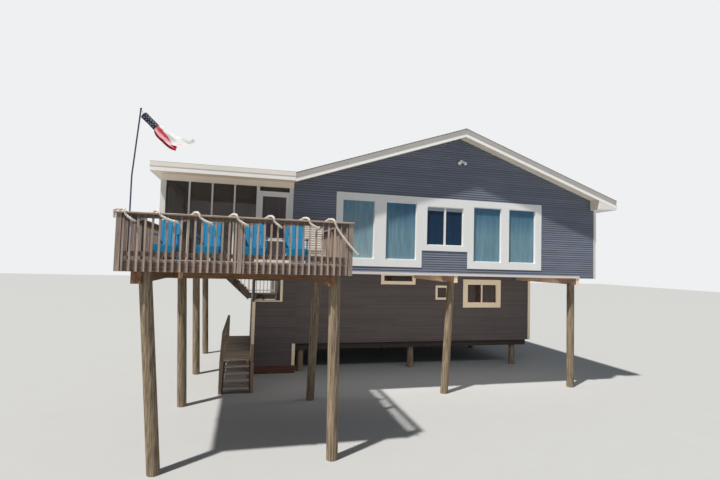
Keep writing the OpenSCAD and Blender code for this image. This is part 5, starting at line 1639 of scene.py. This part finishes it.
@dataclass(frozen=True)
class Rope:
    """Three-strand rope wound round the front cap and the rail under it.

    Attributes:
        radius: Radius of the rope.
        slack: How far it lies off the wood.
        lay: Length of one turn of its strands.
        pitch: Distance from winding to winding.
        turns: Number of windings.
        arch: How high a winding arches over the cap.
        runs: How far each winding goes along before it passes under the cap.
    """

    radius: float = 25.0
    slack: float = 2.2
    lay: float = 170.0
    pitch: float = 715.0
    turns: int = 6
    arch: float = 22.0
    runs: tuple[float, ...] = (240.0, 345.0, 345.0, 345.0, 285.0, 345.0)

    def hump(self, k: int) -> float:
        """Where winding k lies on the cap."""
        along = 95.0 if k == 0 else k * self.pitch - 26.0 - (180.0 if k == self.turns else 0.0)
        return PLAN.deck_left + along

    def slot(self, x: float) -> float:
        """Finds a gap between balusters.

        Args:
            x: Where the gap is wanted.

        Returns:
            The middle of the nearest gap.
        """
        left, length = PLAN.front_panels()[x >= PLAN.middle_post]
        bars = [left + at for at in PLAN.balusters(length)]
        return min(((a + b) / 2 for a, b in zip(bars, bars[1:])), key=lambda gap: abs(gap - x))

    def path(self) -> list[Vector]:
        """Leads the rope along the railing.

        Returns:
            Points that its middle runs through, in millimetres.
        """
        r, rise, front = self.radius, self.arch * 0.8, PLAN.deck_front
        near, middle = front - PLAN.cap_over - r - self.slack, front - PLAN.cap_over + PLAN.cap / 2
        far, side = front + 115 + r + self.slack, PLAN.deck_left - PLAN.cap_over - r - self.slack
        top, low = PLAN.cap_foot + PLAN.board + r + self.slack, PLAN.cap_foot + PLAN.board - 172
        edge = top - 0.56 * r

        def drop(t: float) -> float:
            """Height of the rope on its way down in front."""
            return edge - (edge - low) * t ** 0.45

        def over(x: float) -> list[Point]:
            """The way over the cap to its front edge."""
            return [(x, middle, top + self.arch), (x + 30, middle - 1.5 * r, top + rise), (x + 60, near, edge)]

        points = [(side, front + 70, low + 50), (side, front + 62, (top + low) / 2 + 50),
                  (side, front + 50, edge), (side + 60, front + 38, top + rise),
                  (side + 105, front + 31, top + 2)]
        for k in range(self.turns):
            x, after = self.hump(k), self.hump(k + 1) - 80
            d = self.slot(x + self.runs[k])
            points += over(x)
            points += [(x + 60 + (d - x - 60) * t, near, drop(t)) for t in (0.12, 0.3, 0.5, 0.7)]
            points += [(d - 35, near + r / 4, drop(0.86)),
                       (d - r / 2, front - 0.8 * r, low + r / 4), (d, front + 19, low),
                       (d + r / 3, front + 76 + 1.3 * r, low), (d + r, far, low + r),
                       (d + (after - d) * 0.45, far, (top + 2 * low) / 3),
                       (d + (after - d) * 0.8, far, (3 * top + low) / 4),
                       (after, far, edge), (after + 40, middle + 1.5 * r, top + rise)]
        points += over(self.hump(self.turns))
        start, end = points[-1], (PLAN.deck_right + 117, front - r - self.slack, PLAN.floor + 221)
        for i in range(1, 10):
            t = i / 9
            points.append((start[0] + (end[0] - start[0]) * t, start[1] + (end[1] - start[1]) * t,
                           start[2] + (end[2] - start[2]) * t ** 0.74))
        return [Vector(p) for p in points]

    def dress(self) -> None:
        """Twists three strands along the path."""
        points = even_curve(self.path(), 14.0)
        last, half = len(points) - 1, self.radius * 0.5
        curve = bpy.data.curves.new("rope_strands", "CURVE")
        curve.dimensions, curve.bevel_depth, curve.bevel_resolution = "3D", half * MM, 2
        curve.use_fill_caps = True
        strands = [curve.splines.new("POLY") for _ in range(3)]
        for strand in strands:
            strand.points.add(last)
        normal, run = Vector((1, 0.2, 0)), 0.0
        for i, point in enumerate(points):
            ahead = (points[min(i + 1, last)] - points[max(i - 1, 0)]).normalized()
            normal = (normal - normal.dot(ahead) * ahead).normalized()
            across = ahead.cross(normal)
            run += (point - points[i - 1]).length if i else 0.0
            for k, strand in enumerate(strands):
                angle = 2 * math.pi * (run / self.lay + k / 3)
                offset = (normal * math.cos(angle) + across * math.sin(angle)) * half
                strand.points[i].co = (*((point + offset + SHIFT) * MM), 1.0)
        LOG.info("rope length %.2f m", run * MM)
        drawn = link("rope_curve", curve)
        mesh = bpy.data.meshes.new_from_object(drawn.evaluated_get(bpy.context.evaluated_depsgraph_get()))
        bpy.data.objects.remove(drawn)
        mesh.name = "twisted_rope"
        for polygon in mesh.polygons:
            polygon.use_smooth = True
        settle(link("twisted_rope", mesh), Look.ROPE, ["rail_rope"])


@dataclass
class Chairs:
    """Blue chairs with arched backs and a weathered slatted one, on the deck."""

    places: tuple[float, ...] = (645.0, 1550.0, 2570.0, 3505.0)
    row: float = -2250.0
    half: float = 225.0
    count: int = 5
    reach: float = 690.0
    recline: float = -16.0
    slat_half: float = 240.0

    def dress(self) -> None:
        """Builds four blue chairs and a weathered one."""
        blue = Timber("blue_chairs", Look.BLUE_CHAIR, Slot.CHAIR_BLUE, ["deck_chairs"], chamfer=4.0, seed=71)
        for x in self.places:
            self.chair(blue, Matrix.Translation((PLAN.deck_left + x, self.row, PLAN.floor)))
        blue.build()
        grey_one = Timber("slatted_chair", Look.GREY_CHAIR, Slot.DECK_WOOD, chamfer=3.0, seed=72)
        self.slatted(grey_one, Matrix.Translation((PLAN.deck_right - 465, -1500, PLAN.floor)))
        grey_one.build()

    def tilt(self, height: float) -> Matrix:
        """Lifts a chair's back to the seat and leans it."""
        return Matrix.Translation((0, 0, height)) @ Matrix.Rotation(math.radians(self.recline), 4, "X")

    def slatted(self, timber: Timber, place: Matrix) -> None:
        """Adds the weathered chair, of thin level slats.

        Args:
            timber: The piece that takes its boards.
            place: Where it stands.
        """
        half, seat = self.slat_half, 330
        back = place @ self.tilt(seat + 24)
        for i in range(11):
            timber.board((-half, -24, i * 64 + 4), (half, 0, i * 64 + 50), Way.X, back)
        for side in (-half, half - 24):
            timber.board((side, -20, 0), (side + 24, 4, 702), Way.Z, back)
            for y in (-500, -70):
                timber.board((side, y, 0), (side + 24, y + 70, seat), Way.Z, place)
        for i in range(7):
            timber.board((-half, -500 + i * 71, seat), (half, -500 + i * 71 + 62, seat + 24), Way.X, place)
        for i in range(4):
            timber.board((-half, -516, 68 + i * 64), (half, -501, 114 + i * 64), Way.X, place)

    def arch(self, corner: Vector) -> Vector:
        """Brings an upper corner of the back down to its arch."""
        return Vector((*corner.xy, math.sqrt(self.reach ** 2 - corner.x ** 2))) if corner.z > 300 else corner

    def arm_slope(self, corner: Vector) -> Vector:
        """Lowers a side board towards the chair's back."""
        return Vector((corner.x, corner.y, corner.z + 260 - (corner.y + 524) * 0.36))

    def chair(self, timber: Timber, place: Matrix) -> None:
        """Adds one chair with an arched back of upright boards.

        Args:
            timber: The piece that takes its boards.
            place: Where it stands.
        """
        half, back = self.half, place @ self.tilt(285)
        width = 2 * half / self.count
        for i in range(self.count):
            x = -half + i * width
            timber.board((x + 3, -24, 0), (x + width - 3, 0, self.reach), Way.Z, back, self.arch)
        for z in (90, 430):
            timber.board((-200, 0, z), (200, 22, z + 60), Way.X, back)
        seat = place @ Matrix.Translation((0, 0, 260)) @ Matrix.Rotation(math.atan2(-70, 500), 4, "X")
        for i in range(6):
            timber.board((-half, -505 + i * 84, 0), (half, -505 + i * 84 + 76, 24), Way.X, seat)
        timber.board((-half, -523, 172), (half, -507, 325), Way.X, place)
        for side, leg, rest in ((-249.5, -274.0, -300), (225.5, 250.0, 223)):
            timber.board((side, -524, 0), (side + 24, 190, 95), Way.Y, place, self.arm_slope)
            timber.board((leg, -500, 0), (leg + 24, -430, 560), Way.Z, place)
            timber.board((rest, -540, 560), (rest + 77, 84, 584), Way.Y, place)


@dataclass(frozen=True)
class Tail:
    """A strip of the windsock, with where it is sewn on and the way that its middle goes."""

    look: Look
    turned: float
    points: tuple[Span, ...]


@dataclass
class Windsock:
    """The pole's windsock: a cloth tube and five tails sewn round its end hoop."""

    tilt: float = 133.5
    length: float = 338.0
    radius: float = 71.0
    seam: float = 1.5
    pole_top: Point = (296.0, 129.0, 2930.0)
    start: Point = (59.0, 0.0, -121.0)
    width: float = 62.0
    tails: tuple[Tail, ...] = (
        Tail(Look.WHITE_CLOTH, 30, ((127, -8), (208, -54), (290, -105), (371, -146), (461, -161), (543, -205),
                                    (614, -222), (693, -163))),
        Tail(Look.WHITE_CLOTH, -50, ((89, -23), (191, -99), (253, -157), (314, -200), (375, -243))),
        Tail(Look.RED_CLOTH, 70, ((50, -27), (102, -86), (163, -145), (216, -225), (269, -290), (320, -334),
                                  (391, -371))),
        Tail(Look.PINK_CLOTH, 110, ((44, -113), (96, -167), (157, -210), (218, -268), (329, -312), (468, -312),
                                    (548, -302))),
        Tail(Look.RED_CLOTH, 210, ((-26, -82), (27, -158), (99, -226), (181, -304), (282, -370), (372, -389))),
    )

    def dress(self) -> None:
        """Makes the lines, the tube and the tails."""
        top = Vector((PLAN.deck_left, PLAN.deck_front, PLAN.floor)) + Vector(self.pole_top)
        start = top + Vector(self.start)
        ahead = Vector((math.sin(math.radians(self.tilt)), 0, math.cos(math.radians(self.tilt))))
        end, ring = start + ahead * self.length, self.radius - self.seam
        self.lines(top, start, end, ring)
        self.tube(start, end)
        over = Vector((-ahead.z, 0, ahead.x))
        for i, tail in enumerate(self.tails):
            turned = math.radians(tail.turned)
            hem = end + ring * (math.cos(turned) * over - math.sin(turned) * Y)
            path = [hem, *(end + Vector((x, hem.y - end.y, z)) for x, z in tail.points)]
            self.strip(i, tail.look, path, math.sin(turned) * over + math.cos(turned) * Y)

    def lines(self, top: Vector, start: Vector, end: Vector, ring: float) -> None:
        """Makes the two lines, both hoops and the bar across the end one.

        Args:
            top: Tip of the pole.
            start: Middle of the mouth hoop.
            end: Middle of the end hoop.
            ring: Radius of the hoops.
        """
        bm = bmesh.new()
        for side in (-1, 1):
            add_rod(bm, top + Vector((0, side * 4, 0)), start + Vector((2, side * ring, -2)), 2.0, 10)
        add_rod(bm, end - ring * Y, end + ring * Y, 3.5, 10)
        for at in (start, end):
            hoop = bmesh.ops.create_cone(bm, cap_ends=False, segments=32, radius1=ring, radius2=ring, depth=6,
                                         matrix=Matrix.Translation(at) @ aim(end - start))
            faces = list({f for v in hoop["verts"] for f in v.link_faces})
            bmesh.ops.solidify(bm, geom=faces, thickness=2.5)
        to_frame(bm)
        settle(add_mesh("sock_lines", bm, 60.0), Look.POLE, ["windsock"])

    def tube(self, start: Vector, end: Vector) -> None:
        """Stretches the cloth tube from hoop to hoop, drawn in between them.

        Args:
            start: Middle of the mouth hoop.
            end: Middle of the end hoop.
        """
        bm, depth = bmesh.new(), self.length - 5
        bmesh.ops.create_cone(bm, cap_ends=False, segments=40, radius1=self.radius, radius2=self.radius,
                              depth=depth)
        upright = [e for e in bm.edges if abs(e.verts[0].co.z - e.verts[1].co.z) > 1]
        bmesh.ops.subdivide_edges(bm, edges=upright, cuts=14, use_grid_fill=True)
        for vert in bm.verts:
            share = vert.co.z / depth * 2
            angle = math.atan2(vert.co.y, vert.co.x)
            pinch = 1 - (0.03 + 0.04 * math.sin(3 * angle + 2.5 * share) ** 2) * (1 - share ** 2)
            vert.co.x *= pinch
            vert.co.y *= pinch
        place = Matrix.Translation((start + end) / 2) @ aim(end - start)
        bmesh.ops.transform(bm, matrix=place, verts=bm.verts[:])
        to_frame(bm)
        cloth = settle(add_mesh("sock_tube", bm, 60.0), Look.SOCK)

    def strip(self, i: int, look: Look, points: list[Vector], seam: Vector) -> None:
        """Makes one strip of cloth that streams from the end hoop through the points.

        Args:
            i: The strip's place in the row.
            look: Its finish.
            points: Points on its middle line, the first one on the hoop.
            seam: Direction of its sewn end.
        """
        line = even_curve(points, 15.0)
        count, bm = len(line) - 1, bmesh.new()
        bmesh.ops.create_grid(bm, x_segments=count, y_segments=3, size=0.5)
        for vert in bm.verts:
            t, w = vert.co.x + 0.5, vert.co.y
            k = round(t * count)
            run = (line[min(k + 1, count)] - line[max(k - 1, 0)]).normalized()
            lean = 0.35 + 0.5 * t * math.sin(5.0 * t + i * 1.3)
            flat = math.cos(lean) * Vector((-run.z, 0, run.x)) + math.sin(lean) * Y
            across = (seam if seam.dot(flat) > 0 else -seam).lerp(flat, min(1.0, k / 6)).normalized()
            drift = (2 - i) * 25.0 * t + 6 * math.sin(9 * t + i) * t
            vert.co = line[k] + drift * Y - self.width * w * across
        to_frame(bm)
        area, width = sum(f.calc_area() for f in bm.faces), self.width * MM
        strip = settle(add_mesh(f"sock_tail_{i + 1}", bm, 60.0), look)


@dataclass(frozen=True)
class Light:
    """One of the front window's panes, with its foot and head over the sill beam."""

    left: float
    width: float
    foot: float
    head: float
    look: Look

    def box(self) -> Box:
        """Left, right, foot and head of the glass."""
        return self.left, self.left + self.width, PLAN.sill + self.foot, PLAN.sill + self.head


@dataclass
class Glazing:
    """Panes, beads and the curtains behind the front windows.

    Attributes:
        fronts: The front's panes, from left to right.
        bead: Width of a bead.
        rod: Distance of the curtain rods behind the wall's face, and their size.
        folds: Number of folds in a curtain.
        header_foot: Foot of the board over the porch's openings.
        door_net: Left and right of the screen door's nets.
        door_nets: Foot and head of each net over the floor.
    """

    fronts: tuple[Light, ...] = (
        Light(-3828.0, 1020.0, 478.0, 2288.0, Look.PALE_GLASS),
        Light(-2430.0, 1020.0, 478.0, 2288.0, Look.TEAL_GLASS),
        Light(-1052.5, 1273.0, 974.0, 2220.0, Look.DARK_GLASS),
        Light(603.0, 1020.0, 478.0, 2288.0, Look.TEAL_GLASS),
        Light(1917.0, 1020.0, 478.0, 2288.0, Look.TEAL_GLASS),
    )
    bead: float = 22.0
    rod: Span = (200.0, 22.0)
    folds: int = 11
    header_foot: float = 6342.0
    door_net: Span = (-6224.0, -5540.0)
    door_nets: tuple[Span, Span] = ((200.0, 620.0), (710.0, 1930.0))

    def dress(self) -> None:
        """Glazes every window and hangs the curtains."""
        groups = {look: Timber(name, look, Slot.GLASS, nodes, 0.0, 81) for name, look, nodes in (
            ("front_pale_glass", Look.PALE_GLASS, ()), ("front_glass", Look.TEAL_GLASS, ["upper_glass"]),
            ("front_dark_glass", Look.DARK_GLASS, ()))}
        for light in self.fronts:
            left, right, foot, head = light.box()
            groups[light.look].board((left, 45, foot), (right, 65, head), Way.Z)
        self.plain_windows(groups[Look.DARK_GLASS])
        for group in groups.values():
            group.build()
        self.beads()
        self.porch_front()
        near, size = self.rod
        rods = Timber("curtain_rods", Look.WHITE_TRIM, Slot.WHITE_TRIM, chamfer=2.0, seed=82)
        curtained = [(i, light.box()) for i, light in enumerate(self.fronts) if light.look is Look.TEAL_GLASS]
        for _, (left, right, _, head) in curtained:
            rods.board((left - 90, near, head + 60), (right + 90, near + size, head + 60 + size), Way.X)
        rods.build()
        for i, (left, right, foot, head) in curtained:
            self.curtain(i, left - 50, right + 50, foot - 120, head + 62)

    def plain_windows(self, timber: Timber) -> None:
        """Glazes the side and back windows of the upper storey.

        Args:
            timber: The piece that takes their panes.
        """
        half, foot = PLAN.window_half, PLAN.window_foot
        head = foot + PLAN.window_height
        sides, behind = PLAN.bays(0.0, PLAN.depth, 4), PLAN.bays(PLAN.left, PLAN.right, 4)
        for i, (y, x) in enumerate(zip(sides, behind)):
            timber.board((PLAN.right - 65, y - half, foot), (PLAN.right - 45, y + half, head), Way.Z)
            if i > 1:
                timber.board((PLAN.left + 45, y - half, foot), (PLAN.left + 65, y + half, head), Way.Z)
            timber.board((x - half, PLAN.depth - 65, foot), (x + half, PLAN.depth - 45, head), Way.Z)

    def porch_front(self) -> None:
        """Adds the middle pane's blind, the porch's header and the door's dark nets."""
        left, right, _, head = self.fronts[2].box()
        blind = Timber("rolled_blind", Look.BLIND, Slot.WHITE_VINYL, seed=84)
        blind.board((left + self.bead, 30, head - 132), (right - self.bead, 44, head - self.bead), Way.X)
        blind.build()
        header = Timber("porch_header_board", Look.HEADER, Slot.WHITE_TRIM, seed=85)
        header.board((PLAN.porch_left + 2, -9, self.header_foot),
                     (PLAN.left - 2, -0.5, PLAN.ceiling - 1), Way.X)
        header.build()
        nets = Timber("door_nets", Look.DOOR_SCREEN, Slot.SCREEN, chamfer=0.0, seed=86)
        left, right = self.door_net
        for low, high in self.door_nets:
            nets.board((left, 23, PLAN.floor + low), (right, 29, PLAN.floor + high), Way.Z)
        nets.build()

    def beads(self) -> None:
        """Lays thin beads round the front panes."""
        bead = self.bead
        beads = Timber("glazing_beads", Look.WHITE_VINYL, Slot.WHITE_VINYL, chamfer=2.0, seed=83)
        for light in self.fronts:
            left, right, foot, head = light.box()
            for a, b, c, d in ((left, left + bead, foot, head), (right - bead, right, foot, head),
                               (left + bead, right - bead, foot, foot + bead),
                               (left + bead, right - bead, head - bead, head)):
                beads.board((a, 18, c), (b, 45, d), Way.Z)
        beads.build()

    def curtain(self, i: int, left: float, right: float, foot: float, head: float) -> None:
        """Hangs a gathered curtain in even folds.

        Args:
            i: Place of its window in the row.
            left: Its left edge.
            right: Its right edge.
            foot: Its hem.
            head: Its upper edge.
        """
        bm = bmesh.new()
        bmesh.ops.create_grid(bm, x_segments=120, y_segments=8, size=0.5)
        for vert in bm.verts:
            s, t = vert.co.x + 0.5, vert.co.y + 0.5
            fold = math.sin(s * 2 * math.pi * self.folds + 1.2 * math.sin(s * 7 + i)) * (26 - 8 * t)
            vert.co = (left + (right - left) * s, self.rod[0] + 10 + fold, foot + (head - foot) * t)
        to_frame(bm)
        area, length = sum(f.calc_area() for f in bm.faces), (head - foot) * MM
        piece = settle(add_mesh(f"curtain_{i + 1}", bm, 70.0), Look.CURTAIN)


@dataclass
class Lamp:
    """Twin floodlight in the gable.

    Attributes:
        base: Middle of the base on the wall, over the sill beam.
        joint: A head's joint, from the base, for the right head.
        arm_start: Where the arms leave the base.
        arm: Radius of an arm.
        back: A head's back end, from its joint, for the right head.
        mouth: Its front end, from its joint.
        outline: Radius and distance from the back end along a head, up to its rim.
        rim: Outer and inner radius of the rim, and depth of the glass behind it.
    """

    base: Point = (105.0, 0.0, 3760.0)
    joint: Point = (70.0, -75.0, -20.0)
    arm_start: Point = (0.0, -35.0, 0.0)
    arm: float = 12.0
    back: Point = (-22.0, 40.0, 40.0)
    mouth: Point = (42.0, -60.0, -70.0)
    outline: tuple[Span, ...] = ((0, 0), (20, 2), (30, 22), (34, 60), (50, 110))
    rim: Point = (52.0, 44.0, 12.0)

    def dress(self) -> None:
        """Builds the base, the arms and the two heads."""
        bm = bmesh.new()
        base = Vector(self.base) + PLAN.sill * Z
        turn = Matrix.Rotation(math.radians(90), 4, "X")
        bmesh.ops.create_cone(bm, cap_ends=True, segments=32, radius1=62, radius2=56, depth=40,
                              matrix=Matrix.Translation(base - 20 * Y) @ turn)
        for side in (-1, 1):
            mirror = Matrix.Diagonal((side, 1, 1))
            joint = base + mirror @ Vector(self.joint)
            add_rod(bm, base + Vector(self.arm_start), joint, self.arm, 16)
            self.head(bm, joint + mirror @ Vector(self.back), joint + mirror @ Vector(self.mouth))
        to_frame(bm)
        settle(add_mesh("twin_floodlight", bm, 35.0), Look.LAMP, ["floodlight"])

    def head(self, bm: BMesh, start: Vector, end: Vector) -> None:
        """Spins one head's outline and moves it into place.

        Args:
            bm: The mesh that takes it.
            start: Its back end.
            end: Its front end.
        """
        length, (outer, inner, glass) = (end - start).length, self.rim
        there = set(bm.verts)
        profile = [*self.outline, (outer, length), (inner, length), (0, length - glass)]
        verts = [bm.verts.new((r, 0, h)) for r, h in profile]
        edges = [bm.edges.new(pair) for pair in zip(verts, verts[1:])]
        bmesh.ops.spin(bm, geom=verts + edges, cent=(0, 0, 0), axis=Z, angle=2 * math.pi, steps=28,
                       use_merge=True)
        bmesh.ops.remove_doubles(bm, verts=[v for v in bm.verts if v not in there], dist=0.05)
        bmesh.ops.transform(bm, matrix=Matrix.Translation(start) @ aim(end - start),
                            verts=[v for v in bm.verts if v not in there])


CAD_LOOKS = {
    Look.SIDING_BACK: ("front_wall", "right_wall", "left_wall", "back_wall"),
    Look.LOWER_BACK: ("lower_front_wall", "lower_side_walls"),
    Look.WHITE_TRIM: ("main_roof", "porch_roof", "front_fascia", "rear_fascia", "porch_frame"),
    Look.WHITE_VINYL: ("front_window_frame", "side_window_frames", "screen_door"),
    Look.CREAM_TRIM: ("lower_trim", "lower_window_frames"),
    Look.FLOOR_EDGE: ("upper_floor", "porch_floor"),
    Look.SOFFIT: ("soffits",),
    Look.FOOT_BAND: ("upper_trim",),
    Look.SCREEN: ("porch_screens",),
    Look.BROWN_GLASS: ("lower_glass",),
    Look.POLE: ("flagpole",),
    Look.SKIRT: ("bay_skirt",),
    Look.LOW_EDGE: ("lower_floor",),
    Look.POST: ("deck_posts",),
    Look.STRINGER: ("stair_stringers",),
    Look.STAIR_GUARD: ("stair_guards",),
}


def paint_cad() -> None:
    """Gives the CAD nodes that stay in view their finishes."""
    for look, names in CAD_LOOKS.items():
        for name in names:
            look.cover(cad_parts[name])


def main() -> None:
    """Builds the studio and dresses the house."""
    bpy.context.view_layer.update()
    PhotoCamera().build()
    Studio().build()
    for part in (Rope(), Walls(), Roofing(), Supports(), Deck(), Stairs(), Chairs(), Windsock(), Glazing(),
                 Lamp()):
        LOG.info("%s", type(part).__name__)
        part.dress()
    paint_cad()


if __name__ == "__main__":
    main()
